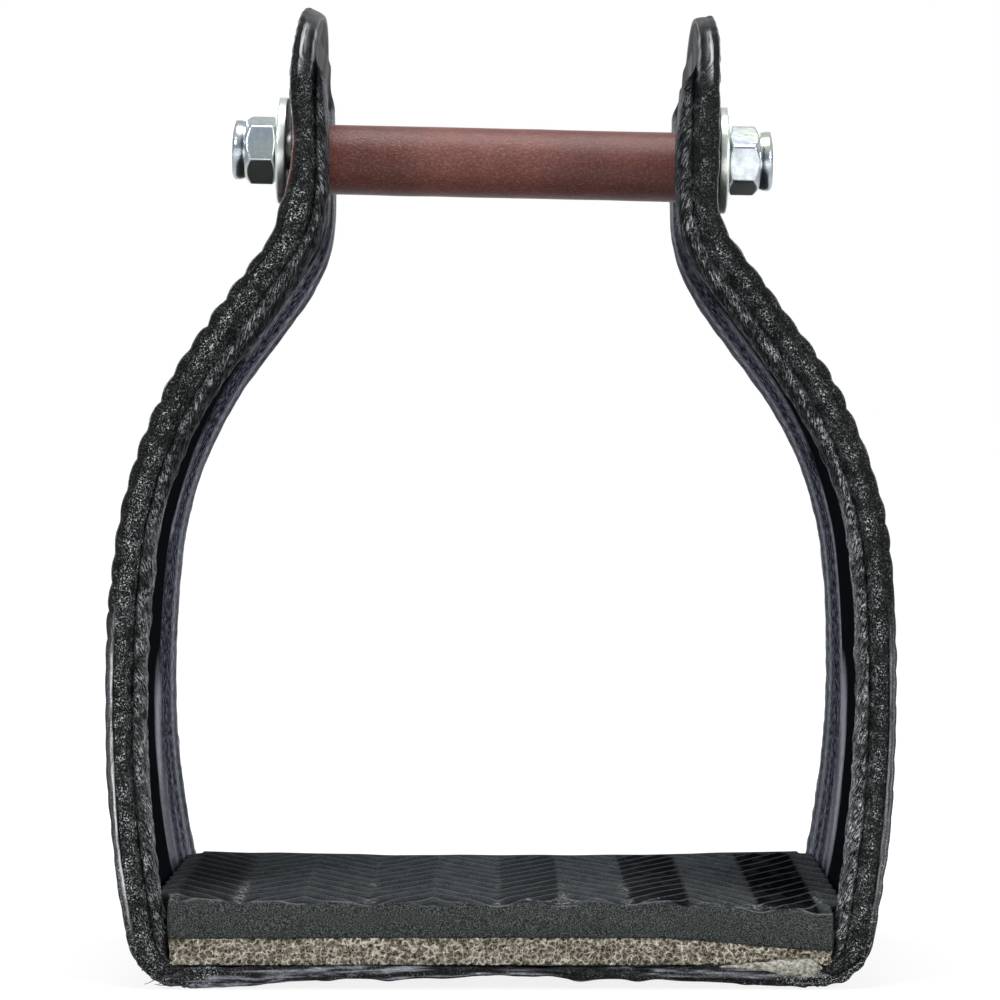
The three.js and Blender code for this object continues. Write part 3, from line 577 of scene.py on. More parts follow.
def cover_quadrant(side, edge, stations, section, inner_u, outer_u, middle_parts):
    """Points of one quarter of a leather piece. section is [station, point, (inset, depth)]."""
    shares = np.linspace(1, 0, middle_parts + 1)[:-1]
    count = len(stations["s"])

    def middle_lines(u, shares):
        inset = np.broadcast_to(EDGE_BAND + shares, (count, len(shares)))
        return np.stack([inset, np.broadcast_to(u[:, None], inset.shape)], -1)

    line = np.concatenate([middle_lines(inner_u, shares), section, middle_lines(outer_u, shares[::-1])], 1)
    inset, share = np.minimum(line[..., 0], EDGE_BAND), np.clip(line[..., 0] - EDGE_BAND, 0, 1)
    column = lambda key: stations[key][:, None]
    s = lerp(column("s") + column("ns") * inset, column("middle"), share)
    y = lerp(column("y") + column("ny") * inset, 0, share)
    points = on_cover(side, s, edge * y, line[..., 1])
    inward = np.where(share > 0, EDGE_BAND + 28 * share, inset)
    steps = np.hypot(np.diff(line[..., 1], axis=1), np.diff(inward, axis=1))
    across = np.concatenate([np.zeros((count, 1)), np.cumsum(steps, 1)], 1)
    uv = np.stack([np.broadcast_to(column("q"), across.shape), across], -1) / 100
    return points, uv


def section_normals(section):
    """Unit normals of sections in their own plane, pointing out of the leather."""
    along = np.gradient(section, axis=1)
    normal = np.stack([-along[..., 1], along[..., 0]], -1)
    return normal / np.maximum(np.linalg.norm(normal, axis=-1, keepdims=True), 1e-9)


def puff(q, side, edge):
    """0 at each stitch and 1 between two, along an edge."""
    q = q + stitch_drift(q, side, edge)
    return np.abs(np.sin(np.pi * q / STITCH_PITCH)) ** 0.7


def stitch_drift(q, side, edge):
    return 0.8 * noise(q / 17, 3.3 * side, 5.1 * edge)


def scallop_height(s, side):
    slope = bell(s, (SIDE_ARC_END + SLOPE_END) / 2, 44)
    sewn = smooth(s, CORNER_END - 8, CORNER_END + 10)
    uneven = 1 + 0.6 * noise(s / 9, side, 2.5)
    return sewn * (0.15 * uneven + (0.5 if side < 0 else 0.34) * slope * uneven)


def open_seam(s):
    """Where the cover's edge stands clear of the lining: 1 along the lower arm."""
    return smooth(s, CORNER_END - 2, CORNER_END + 14) * (1 - smooth(s, SIDE_ARC_END - 22, SIDE_ARC_END - 6))


ROLL_PARTS = [3, 4, 5, 5, 5, 5, 4, 3, 3, 4, 4, 4, 3, 2, 3, 2, 2, 2, 4]
# inset and share of the rise from the lining's face over its roll, then inset and depth round the flange to
# its back; the last three say where it is creased (with painted sheen), grained (with painted sparkle) and
# streaked
ARM_ROLL = [
    (12.0, 0.00, 0, 0, 1), (10.9, 0.08, 0, 0, 1), (9.3, 0.50, 0, 0, 1), (7.6, 0.88, 0.3, 0, 1),
    (5.8, 1.00, 1, 0, 0.4), (4.0, 0.97, 1, 0, 0), (2.5, 0.80, 1, 0, 0), (1.7, 0.55, 1, 0, 0),
    (1.8, 0.33, 0.8, 0.3, 0), (2.8, 0.12, 0.2, 0.5, 0),
]
ARM_FLANGE = [
    (1.7, 4.75, 0, 1, 0), (0.6, 4.3, 0, 1, 0), (0.05, 3.4, 0, 1, 0), (0.1, 2.1, 0, 0.7, 0),
    (0.6, 1.78, 0, 0, 0), (3.0, 2.0, 0, 0, 0), (4.4, 2.2, 0, 0, 0), (4.9, 3.9, 0, 0, 0),
    (5.6, 4.3, 0, 0, 0), (12.0, 4.3, 0, 0, 0),
]
TUCKED = [
    (12.0, 5.6), (10.8, 5.6), (9.2, 5.5), (7.4, 5.2), (5.6, 4.7), (4.2, 4.3), (3.2, 4.15), (2.3, 4.1),
    (1.7, 4.05), (1.3, 3.95), (0.95, 3.8), (0.6, 3.5), (0.35, 3.0), (0.4, 2.5), (0.8, 2.15),
    (3.0, 2.1), (4.4, 2.2), (4.9, 3.9), (5.6, 4.3), (12.0, 4.3),
]
PINCHED = [
    (12.0, 4.7), (11.0, 4.7), (10.0, 4.7), (9.0, 4.7), (8.0, 4.7), (6.8, 4.7), (5.2, 4.7), (3.6, 4.75),
    (2.2, 4.75), (1.3, 4.7), (0.7, 4.55), (0.25, 4.1), (0.02, 3.4), (0.05, 2.2), (0.4, 1.8),
    (3.0, 2.1), (7.4, 2.2), (8.3, 3.6), (9.0, 4.3), (12.0, 4.3),
]
WEB_FACE = 5.0
TUCKED_FACE = 5.6
PINCHED_FACE = 4.7
LINING_LINES = 15
CREST_INDEX = LINING_LINES + 17
CREASE_TURN = math.radians(25)
EAR_RISE = {(-1, -1): 3.0, (-1, 1): 1.7, (1, -1): 3.8, (1, 1): 2.1}


def lining_rise(side, edge, s, q):
    """How far the lining's roll stands over its face."""
    rise = lerp(2.9, 4.3, smooth(s, SIDE_ARC_END, ROLL_PEAK))
    on_ear = EAR_RISE[side, edge] * (1 - 0.3 * smooth(s, NECK_END + 6, COVER_END - 12))
    rise = lerp(rise, on_ear, smooth(s, ROLL_PEAK, NECK_END))
    return rise * (1 + (0.06 if edge < 0 else 0.03) * noise(q / 21, side, edge + 9))


def lining_controls(s, rise, pinch):
    """Control points of the lining's sections, tucked flat at the base and pinched flat at the ear's tab."""
    roll, flange = np.array(ARM_ROLL), np.array(ARM_FLANGE)
    arm = np.zeros((len(s), len(roll) + len(flange), 5))
    arm[:, :len(roll)] = roll
    arm[:, :len(roll), 1] = WEB_FACE + roll[:, 1] * rise
    arm[:, len(roll):] = flange
    for flat, share in ((TUCKED, 1 - smooth(s, BASE_HALF, CORNER_END)), (PINCHED, pinch)):
        flat = np.concatenate([np.array(flat), np.zeros((len(flat), 3))], 1)
        arm = lerp(arm, flat[None], share[..., None])
    return arm


def lining_relief(side, edge, q, index, across, ear, creases_and_sheen, grain_and_sparkle, streaked):
    """Height of the lining's creases, grain, streaks and lumps."""
    seed = 7.7 * side + 3.1 * edge
    length_way = q * math.cos(CREASE_TURN) + across * math.sin(CREASE_TURN)
    cross_way = across * math.cos(CREASE_TURN) - q * math.sin(CREASE_TURN)
    creases = -np.abs(noise(length_way / 5.5, cross_way / 1.15, seed)) ** 0.6
    creases += 0.6 * noise(length_way / 3, cross_way / 0.7, seed + 20)
    calm = (1 - 0.55 * ear) * (1 if edge < 0 else 0.35 + 0.65 * smooth(index, 20, 26))
    relief = creases_and_sheen * calm * (0.38 * creases + 0.2 * noise(q / 2.2, across / 2.2, seed + 30))
    relief += grain_and_sparkle * 0.22 * noise(q / 1.1, across / 0.9, seed + 40)
    relief += streaked * 0.16 * noise(q / 26, across / 0.8, seed + 50)
    relief += (0.2 if edge < 0 else 0.08) * (creases_and_sheen + grain_and_sparkle) * noise(q / 9, across / 4, seed + 60)
    return relief


def lining_dark(edge, s, index, high, ear, tab):
    """How near to matt black the lining is: painted shade in the valley, and matt black on the ear's tab and
    high on the front roll.
    """
    # painted shade: the valley between the flange and the roll turns matt and near-black
    dark = 0.3 * bell(index, 37, 1.8) * (1 - 0.85 * ear)
    top = smooth(s, COVER_END - 24, COVER_END - 15)
    dark = np.maximum(dark, top * (1 - smooth(index, 38, 43)))
    dark = np.maximum(dark, 0.85 * tab * (index < 60))
    if edge < 0:
        upper = smooth(s, SIDE_ARC_END + 2, SIDE_ARC_END + 22)
        dark = np.maximum(dark, (0.8 - 0.15 * ear) * upper * smooth(high, 0.5, 0.8) * (index < 34))
    return dark


# where the lining is grained and where sparkle highlights are painted on it
def lining_sparkle(side, index, creases_and_sheen, grain_and_sparkle):
    grain = np.clip(0.12 + grain_and_sparkle + (0.4 if side < 0 else 0.7) * creases_and_sheen, 0, 1)
    grain = grain * (1 - 0.5 * smooth(index, 52, 54))
    if side > 0:
        grain = grain * (1 - 0.65 * smooth(index, 48.5, 51))
    return grain


def on_tab(s):
    """1 on the narrow tab at the top of an ear."""
    return smooth(s, COVER_END - 18, COVER_END - 10)


def cut_end(s):
    """The raw cut face at the very top of an ear."""
    return smooth(s, COVER_END - 4.6, COVER_END - 3.6)


def press_flange(section, side, edge, s, q, index, thin):
    """Pulls the flange in at the stitches and out to the cover, and thins it at the ear's end."""
    low = np.clip((5.0 - section[..., 1]) / 2.6, 0, 1) * np.clip((6.5 - section[..., 0]) / 3, 0, 1)
    section[..., 1] -= 0.3 * scallop_height(s, side) * (puff(q, side, edge) - 0.45) * low
    section[..., 1] -= 0.32 * (1 - open_seam(s)) * bell(index, 53, 3.2)
    thinned = np.minimum(section[..., 1], 4.1 - 0.12 * np.minimum(section[..., 0], 5))
    section[..., 1] = lerp(section[..., 1], thinned, thin)


def lining_weights(side, edge, s, index, high, ear, creases_and_sheen, grain_and_sparkle):
    tab = on_tab(s)
    # painted glint: a pale strip and a chain of highlights along the tab's edge
    tab_line = smooth(s, COVER_END - 18, COVER_END - 14) * (1 - smooth(s, COVER_END - 6.5, COVER_END - 4.5))
    tab_glint = 0.6 * bell(index, 52.3, 1.5) + 0.35 * bell(index, 43.5, 1.6)
    grain = lining_sparkle(side, index, creases_and_sheen, grain_and_sparkle)
    return {
        # creases carry painted sheen and grain carries painted sparkle
        "creases_and_sheen": creases_and_sheen * (0.55 if side < 0 else 1.0) * (1 - 0.4 * ear),
        "grain_and_sparkle": np.maximum(grain * (1 - 0.45 * ear), 0.8 * tab * bell(index, 45, 8)),
        "raw": cut_end(s) * bell(index, 45, 13) * (side < 0),
        "glint": (1 if edge < 0 else 0.4) * tab_line * tab_glint,
        "dark": lining_dark(edge, s, index, high, ear, tab) * np.ones_like(s),
        "high": high,
    }


def lining_quadrant(side, edge, stations):
    s, q = stations["s"][:, None], stations["q"][:, None]
    ear = smooth(s, SLOPE_END, NECK_END + 6)
    pinch = smooth(s, COVER_END - 18, COVER_END - 9.5)
    rise = lining_rise(side, edge, s, q)
    curve = spline(lining_controls(s, rise, pinch), ROLL_PARTS)
    section, (creases_and_sheen, grain_and_sparkle, streaked) = curve[..., :2], np.moveaxis(curve[..., 2:], -1, 0)
    index = np.arange(section.shape[1])[None]
    high = np.clip((section[..., 1] - WEB_FACE) / rise, 0, 1)
    thin = smooth(s + stations["ns"][:, None] * section[..., 0], COVER_END - 8.6, COVER_END - 5.5)
    across = across_lengths(section[len(s) // 2])
    relief = lining_relief(side, edge, q, index, across, ear, creases_and_sheen, grain_and_sparkle, streaked)
    section = section + section_normals(section) * relief[..., None]
    press_flange(section, side, edge, s, q, index, thin)
    inner = lerp(WEB_FACE, TUCKED_FACE, 1 - smooth(s[:, 0], BASE_HALF, CORNER_END))
    inner = lerp(inner, PINCHED_FACE, pinch[:, 0])
    outer = (BAND_INNER + 0.3) * np.ones(len(s))
    points, uv = cover_quadrant(side, edge, stations, section, inner, outer, LINING_LINES)
    weights = lining_weights(side, edge, s, index, high, ear, creases_and_sheen, grain_and_sparkle)
    weights = spread_weights(weights, points.shape[:2], LINING_LINES)
    faces = inner_face_weights(points, weights.pop("high"), s, q, side, edge, ear, pinch)
    faces["web"] = np.maximum(faces["web"], 0.985 * weights.pop("dark"))
    weights.update(faces)
    return points, uv, weights


def inner_face_weights(points, high, s, q, side, edge, ear, pinch):
    """Weights over the flat web and the roll's flank, which runs wide near the base, with painted highlight
    lines along the fold and near the crest; the flank takes a painted pale-blue reflection.
    """
    y = np.abs(points[..., 1])
    low = 1 - smooth(s, CORNER_END - 5, CORNER_END + 60)
    fold = half_depth(s) - 12.3
    share = (high + 0.6 * low * np.clip((y - 15) / (fold - 15), 0, 1)) / (1 + 0.6 * low)
    face = (np.arange(points.shape[1])[None] <= CREST_INDEX) * np.ones_like(y)
    on_arm = smooth(s, BASE_HALF + 2, BASE_HALF + 8)
    slope = smooth(s, SIDE_ARC_END, SIDE_ARC_END + 20)
    broken = smooth(noise(q / 11, 2 * side, edge + 3), -0.8, 0.0)
    # painted highlight lines along the fold between web and flank, near the crest and, low down, across the
    # flank
    fold_line = 0.9 * bell(share, 0.08 + 0.1 * slope, 0.085 * (1 - 0.7 * low)) * broken
    lines = fold_line + 0.75 * bell(share, 0.8, 0.08)
    lines = lines + low * (0.6 * bell(share, 0.26, 0.03) + 0.75 * bell(share, 0.52, 0.05))
    web = face * (1 - smooth(share, 0.01 + 0.12 * slope, 0.05 + 0.16 * slope))
    return {
        "web": np.clip(web * on_arm * (1 - 0.015 * ear), 0, 1),
        "flank": np.clip(face * smooth(share, 0.0, 0.05) * on_arm * (1 - 0.8 * ear), 0, 1),
        "line": np.clip(face * lines * on_arm * (1 - 0.6 * ear) * (1 - pinch), 0, 1),
    }


def spread_weights(weights, shape, first):
    """Weights of a section set into the whole grid, with the section's ends carried on over the middle."""
    made = {}
    for key, values in weights.items():
        values = np.broadcast_to(values, (shape[0], values.shape[1]))
        whole = np.concatenate([np.repeat(values[:, :1], first, 1), values], 1)
        whole = np.concatenate([whole, np.repeat(values[:, -1:], shape[1] - whole.shape[1], 1)], 1)
        made[key] = np.clip(whole, 0, 1)
    return made


COVER_THICK = 1.7
COVER_LINES = 9
COVER_PARTS = [3, 2, 2, 3, 4, 4, 3, 3, 3, 3, 3, 2, 2, 2, 2, 2, 3]
# inset and depth of the cover's edge on the arms; at the base's lip, a share of the lip's height is added
COVER_ARM = [
    (12.0, 0), (8.0, 0), (6.0, 0.02), (4.4, 0.08), (3.4, 0.25), (2.6, 0.7), (1.8, 0.3), (1.0, 0.22),
    (0.35, 0.42), (0.08, 0.75), (0.04, 1.25), (0.15, 1.66), (0.9, 1.76), (2.2, 1.72), (3.0, 1.7),
    (4.0, 1.7), (6.0, 1.7), (12.0, 1.7),
]
COVER_LIP = [
    (12.0, 0, 0), (8.0, 0, 0), (6.0, 0, 0), (4.4, 0, 0), (3.0, 0, 0), (1.8, 0, 0), (0.8, 0.1, 0),
    (0.25, 0.45, 0), (0.03, 0.3, 0.2), (0.0, 0, 0.45), (0.03, 0, 0.7), (0.2, 0, 0.88), (0.8, 0, 0.98),
    (2.0, 0, 1), (3.2, 0, 0.99), (3.7, 0.85, 0.4), (4.3, 1.7, 0), (12.0, 1.7, 0),
]
LIP_HEIGHT = 4.15
EDGE_LIFT = 1.15  # how far the base's front and rear edges curl up between the feet and the middle
BUMP_HEIGHT = 0.62
# middles and half-lengths of the bumps under the front of the base
BASE_BUMPS = [(-47, 5), (-34, 4), (-22, 4.5), (-9.5, 4.5), (3.8, 5), (15.6, 4), (27, 4), (38, 8), (52, 4)]


def cover_section(s, run, edge):
    """Sections of the cover's edge: a layered lip along the base and a sewn edge up the arms."""
    arch = BASE_ARCH * (1 + np.cos(np.pi * np.minimum(s / ARCH_HALF, 1))) / 2
    lip = np.array(COVER_LIP)[None]
    height = LIP_HEIGHT - arch + 0.15 * noise(run / 9, 1, edge + 4)
    inset = np.broadcast_to(lip[..., 0], (len(s), lip.shape[1]))
    base = np.stack([inset, lip[..., 1] + lip[..., 2] * height], -1)
    arm = np.array(COVER_ARM)[None]
    return spline(lerp(base, arm, smooth(s, TUCK_START + 1, BASE_HALF + 5)[..., None]), COVER_PARTS)


def cover_relief(section, s, run, edge, near, on_base):
    """Height of the cover's lumps, the lip's layers and the rough corner."""
    seed = 2.9 * edge
    across = across_lengths(section[0])
    rough = 0.1 * noise(run / 2.5, across / 2.5, seed) + 0.1 * noise(run / 8, across / 6, seed + 5)
    corner = smooth(s, BASE_HALF - 12, BASE_HALF) * (1 - smooth(s, CORNER_END, CORNER_END + 8))
    layers = 0.36 * noise(run / 26, section[..., 1] / 0.7, seed + 9)
    layers = layers + 0.16 * noise(run / 3, section[..., 1] / 0.5, seed + 14)
    layers = on_base * near * layers + corner * near * 0.42 * noise(run / 1.3, across / 1.1, seed + 17)
    return near * rough + layers


def shape_base_edge(points, on_base):
    """Lowers the bumps under the base's front and rear edges, and curls the edges up beside them."""
    x = points[..., 0]
    lumps = sum(bell(np.abs(x - middle), 0, half) ** 2 for middle, half in BASE_BUMPS)
    under = smooth(np.abs(points[..., 1]), BASE_DEPTH / 2 - 9, BASE_DEPTH / 2 - 2) * on_base[:, :1]
    falls = 1 - smooth(points[..., 2], 1.4, 3.2)
    points[..., 2] -= np.minimum(BUMP_HEIGHT * lumps * under * falls, np.maximum(points[..., 2] - 0.05, 0))
    points[..., 2] += EDGE_LIFT * bell(np.abs(x), 36, 15) * under * (1 - smooth(points[..., 2], 0.9, 1.9))


def cover_half_quadrant(side, edge, stations):
    s, q = stations["s"][:, None], stations["q"][:, None]
    run = side * q
    section = cover_section(s, run, edge)
    near = 1 - smooth(section[..., 0], 2.8, 6.5)
    outside = np.clip((1.75 - section[..., 1]) / 0.9, 0, 1)
    wave = puff(q, side, edge)
    height = scallop_height(s, side)
    section[..., 1] -= near * height * (wave - 0.35) * (0.15 + 0.85 * outside)
    section[..., 0] -= near * 0.35 * height * (wave - 0.5)
    on_base = 1 - smooth(s, BASE_HALF - 6, BASE_HALF + 8)
    relief = cover_relief(section, s, run, edge, near, on_base)
    section = section + section_normals(section) * relief[..., None]
    full = np.ones(len(s))
    points, uv = cover_quadrant(side, edge, stations, section, 0 * full, COVER_THICK * full, COVER_LINES)
    shape_base_edge(points, on_base)
    weights = cover_weights(side, edge, s, run, section, near, on_base)
    return points, uv, spread_weights(weights, points.shape[:2], COVER_LINES)


def cover_weights(side, edge, s, run, section, near, on_base):
    index = np.arange(section.shape[1])[None]
    # the cover's grain weight also says where sparkle highlights are painted
    corner_sparkle = smooth(s, BASE_HALF - 20, BASE_HALF) * (1 - smooth(s, CORNER_END + 6, CORNER_END + 30))
    # pale bands along the lip's layers and a pale line along the open seam: painted highlights on the real
    # layer edges and the cover's edge
    lip_highlights = smooth(noise(run / 30, section[..., 1] / 0.4, 2.9 * edge + 21), -0.25, 0.15)
    lip_highlights = lip_highlights * smooth(noise(run / 4, section[..., 1] / 0.3, 2.9 * edge + 25), -0.5, 0.3)
    seam_highlight = (0.25 if side < 0 else 0.5) * open_seam(s) * bell(index, 27, 1.2)
    behind_washer = smooth(s, NECK_END - 5, NECK_END) * (1 - smooth(s, NECK_END + 10, NECK_END + 14))
    return {
        "grain_and_sparkle": 0.06 + 0.94 * near * np.maximum(0.14, corner_sparkle),
        "raw": cut_end(s) * bell(index, 31, 7) * (side < 0),
        "line": np.maximum(on_base * near * 0.8 * lip_highlights, seam_highlight),
        # painted glint along the cover's open seam
        "glint": (1 if side < 0 else 0.3) * (1 if edge < 0 else 0.5) * open_seam(s) * bell(index, 31.2, 1.7),
        "tan": (side < 0) * (edge < 0) * behind_washer * bell(index, 24, 2.5),
        "web": 0.7 * on_tab(s) * (index > 18) * (index < 37),
    }


def quadrant_mesh(quadrants):
    """Points, quads, UVs and weights of several quarter grids."""
    points, faces, uvs, first = [], [], [], 0
    weights = {key: [] for key in quadrants[0][2]}
    for grid, uv, more in quadrants:
        rows, columns = grid.shape[:2]
        faces += grid_faces(rows, columns, first=first)
        points.append(grid.reshape(-1, 3))
        uvs.append(uv.reshape(-1, 2))
        for key, values in more.items():
            weights[key].append(values.ravel())
        first += rows * columns
    weights = {key: np.concatenate(values) for key, values in weights.items()}
    return np.concatenate(points), faces, np.concatenate(uvs), weights


for side, name in SIDES.items():
    stations = edge_stations(TUCK_START, 0.58)
    points, faces, uv, weights = quadrant_mesh([lining_quadrant(side, edge, stations) for edge in EDGES])
    leather = f"arm_leather_{name}"
    add_mesh(f"arm_lining_{name}", points, faces, LINING, leather, uv=uv, weights=weights)

stations = edge_stations(0, 0.8)
quadrants = [cover_half_quadrant(side, edge, stations) for side in SIDES for edge in EDGES]
points, faces, uv, weights = quadrant_mesh(quadrants)
add_mesh("cover", points, faces, COVER, "outer_leather", uv=uv, weights=weights)


# Stitches: short cords in the groove of the cover's outer face

STITCH_RADIUS = 0.36
STITCH_DEPTH = 0.42
STITCH_RINGS = 9


def tube(path, radius, sides=8):
    """Closed tube along a path, as points and faces; radius may vary along it."""
    path = np.asarray(path, float)
    radius = np.broadcast_to(radius, len(path))
    along = np.gradient(path, axis=0)
    along /= np.linalg.norm(along, axis=1, keepdims=True)
    across = np.cross(along, [0.0, 1.0, 0.02])
    across /= np.linalg.norm(across, axis=1, keepdims=True)
    other = np.cross(along, across)
    angle = np.arange(sides) * 2 * np.pi / sides
    ring = np.cos(angle)[None, :, None] * across[:, None] + np.sin(angle)[None, :, None] * other[:, None]
    points = (path[:, None] + radius[:, None, None] * ring).reshape(-1, 3)
    faces = grid_faces(len(path), sides, close_columns=True)
    last = (len(path) - 1) * sides
    faces += [list(range(sides))[::-1], list(range(last, last + sides))]
    return points, faces


def joined(tubes):
    """Points and faces of several tubes with as many points each."""
    points = [more for more, _ in tubes]
    faces = []
    for k, (more, quads) in enumerate(tubes):
        faces += shifted_faces(quads, k * len(more))
    return np.concatenate(points), faces


def stitch_row(side, edge):
    stations = edge_stations(0, 0.25)
    q = stations["q"]
    share = np.linspace(-1, 1, STITCH_RINGS)
    tubes = []
    for start in np.arange(CORNER_END - 6, q[-1] - 2, STITCH_PITCH):
        shifted = start - float(stitch_drift(start, side, edge))
        at = np.linspace(shifted + 0.5, shifted + STITCH_PITCH - 0.5, STITCH_RINGS)
        if at[-1] > q[-1]:
            break
        s, y, ns, ny = (np.interp(at, q, stations[key]) for key in ("s", "y", "ns", "ny"))
        dip = 0.55 * share ** 4
        u = STITCH_DEPTH + dip - scallop_height(s, side) * (puff(at, side, edge) - 0.35)
        path = on_cover(side, s + ns * SEAM_INSET, edge * (y + ny * SEAM_INSET), u)
        tubes.append(tube(path, STITCH_RADIUS * np.sqrt(1 - 0.75 * share ** 6)))
    return joined(tubes)


FRAY_STARTS = np.linspace(-70.5, -60, 11)
FRAY_RADIUS = 0.11


def frayed_ends():
    """Loose fibres of the thread at the lower left corner."""
    spread = np.random.default_rng(7)
    tubes = []
    t = np.linspace(0, 1, 7)
    for start in FRAY_STARTS:
        reach = spread.uniform(1.0, 3.0) * spread.choice([-1, 1])
        under = CORNER_RADIUS - math.sqrt(CORNER_RADIUS ** 2 - max(-start - BASE_HALF, 0) ** 2)
        z = under + 0.5 - spread.uniform(0.2, 0.9) * t ** 2 + 0.25 * np.sin(4 * t + start)
        path = np.stack([start + reach * t, -BASE_DEPTH / 2 + 0.5 - 1.3 * t, np.maximum(z, 0.12)], -1)
        tubes.append(tube(path, FRAY_RADIUS * (1 - 0.6 * t), 5))
    return joined(tubes)


for side, name in SIDES.items():
    for edge, edge_name in EDGES.items():
        points, faces = stitch_row(side, edge)
        if side < 0 and edge < 0:
            loose, quads = frayed_ends()
            faces += shifted_faces(quads, len(points))
            points = np.concatenate([points, loose])
        row = f"{edge_name}_{name}"
        add_mesh(f"stitches_{row}", points, faces, THREAD, f"seam_thread_{row}")

# Hardware on the rod's axis, built along X and then set in place

LAYER_GAP = 0.3
NECK_UNDER_WASHER = max(WASHER_RADIUS - PIN_ABOVE_NECK, 0)
NECK_BULGE = NECK_RADIUS - math.sqrt(NECK_RADIUS ** 2 - NECK_UNDER_WASHER ** 2)
ROLLER_END = EAR_X - WEB - 0.5
WASHER_START = EAR_X + WASHER_STAND_OFF + NECK_BULGE + WASHER_RADIUS * math.sin(PIN_TILT) / 2
WASHER_END = WASHER_START + WASHER_THICK
NUT_START = WASHER_END + LAYER_GAP
HEX_END = NUT_START + NUT_HEX_HEIGHT
NUT_END = NUT_START + NUT_HEIGHT
ROD_END = NUT_END - 0.6
BORE_RADIUS = ROD_RADIUS + 0.33
ROLLER_BORE = ROLLER_RADIUS - ROLLER_WALL
ROLLER_HANG = ROLLER_BORE - ROD_RADIUS - LAYER_GAP
THREAD_PITCH = 1.41
HEX_CORNER = NUT_FLATS / 2 / math.cos(math.pi / 6)
HEX_CORNER_CUT = 0.12
HEX_ROUNDING = 0.12
INSERT_RADIUS = 5.15
INSERT_END = NUT_END - 0.8
ROLLER_SIDES = 128
ROD_SIDES = 40
WASHER_SIDES = 120
NUT_SIDES = 180
INSERT_SIDES = 72


def on_pin(points, side=1, drop=0.0, shift=0.0):
    """From the rod's own frame to the row frame."""
    x, y, z = np.moveaxis(points, -1, 0)
    x, y = side * x + shift, side * y
    z = z - drop
    c, s = math.cos(PIN_TILT), math.sin(PIN_TILT)
    return np.stack([TOP_SWAY + x * c + z * s, y, PIN_Z - x * s + z * c], -1)


def revolve(profile, sides, radius_of=None):
    """Rings about X from [along, radius] pairs; radius_of(along, radius, angle) may shape them."""
    profile = np.asarray(profile, float)
    angle = np.arange(sides) * 2 * np.pi / sides
    along = np.broadcast_to(profile[:, :1], (len(profile), sides))
    radius = np.broadcast_to(profile[:, 1:2], (len(profile), sides))
    if radius_of is not None:
        radius = radius_of(along, radius, angle[None])
    return np.stack([along, -radius * np.cos(angle), radius * np.sin(angle)], -1)


def rounded(corners, radius, parts=4):
    """A closed profile with its corners rounded by quadratic curves."""
    corners = np.asarray(corners, float)
    made = []
    for k, corner in enumerate(corners):
        before, after = corners[k - 1] - corner, corners[(k + 1) % len(corners)] - corner
        reach = min(radius, 0.45 * np.linalg.norm(before), 0.45 * np.linalg.norm(after))
        a = corner + before / np.linalg.norm(before) * reach
        b = corner + after / np.linalg.norm(after) * reach
        for t in np.linspace(0, 1, parts):
            made.append((1 - t) ** 2 * a + 2 * t * (1 - t) * corner + t ** 2 * b)
    return np.array(made)


def divided(profile, longest):
    """A closed profile with extra points, so that no stretch is longer than the given length."""
    made = []
    for a, b in zip(profile, np.roll(profile, -1, 0)):
        parts = max(1, math.ceil(np.linalg.norm(b - a) / longest))
        made += [a + (b - a) * t for t in np.arange(parts) / parts]
    return np.array(made)


def box_profile(start, end, bore, radius):
    return [(start, bore), (start, radius), (end, radius), (end, bore)]


def ring_piece(name, replaced, profile, sides, material, side=1, drop=0.0, body="stirrup", shape=None):
    grid = revolve(profile, sides, shape)
    faces = grid_faces(len(grid), sides, close_rows=True, close_columns=True)
    placed = on_pin(grid, side, drop, 0 if body == "roller" else ROD_SHIFT)
    soft = np.full(grid.shape[:2], 1.0 if name.startswith("flat_washer") else 0.0)
    add_mesh(name, placed, faces, material, replaced, body, weights={"soft": soft})


def roller_shape(along, radius, angle):
    outer = smooth(radius, ROLLER_BORE + 0.4, ROLLER_RADIUS - 0.2)
    return radius + outer * 0.05 * noise(along / 7, np.cos(angle) * 2, np.sin(angle) * 2)


def thread_shape(along, radius, angle):
    threaded = smooth(np.abs(along), NUT_START - 2, NUT_START) * smooth(radius, 3.2, 3.9)
    return radius - threaded * 0.22 * (0.5 + 0.5 * np.cos(2 * np.pi * along / THREAD_PITCH + angle))


def nut_shape(turn):
    def shape(along, radius, angle):
        """The outer wall follows the hexagon, cut by a chamfer cone at both ends."""
        turned = (angle - turn + math.pi / 6) % (math.pi / 3) - math.pi / 6
        flat = NUT_FLATS / 2 / np.cos(turned)
        flat = np.minimum(flat, HEX_CORNER - HEX_CORNER_CUT)
        lower = NUT_FLATS / 2 - 0.1 + 1.7 * (along - NUT_START)
        upper = NUT_FLATS / 2 - 0.25 + 1.05 * (HEX_END - along)
        cone = np.minimum(lower, upper)
        wall = -HEX_ROUNDING * np.logaddexp(-flat / HEX_ROUNDING, -cone / HEX_ROUNDING)
        return np.where(radius > COLLAR_RADIUS + 0.05, np.minimum(wall, radius), radius)
    return shape


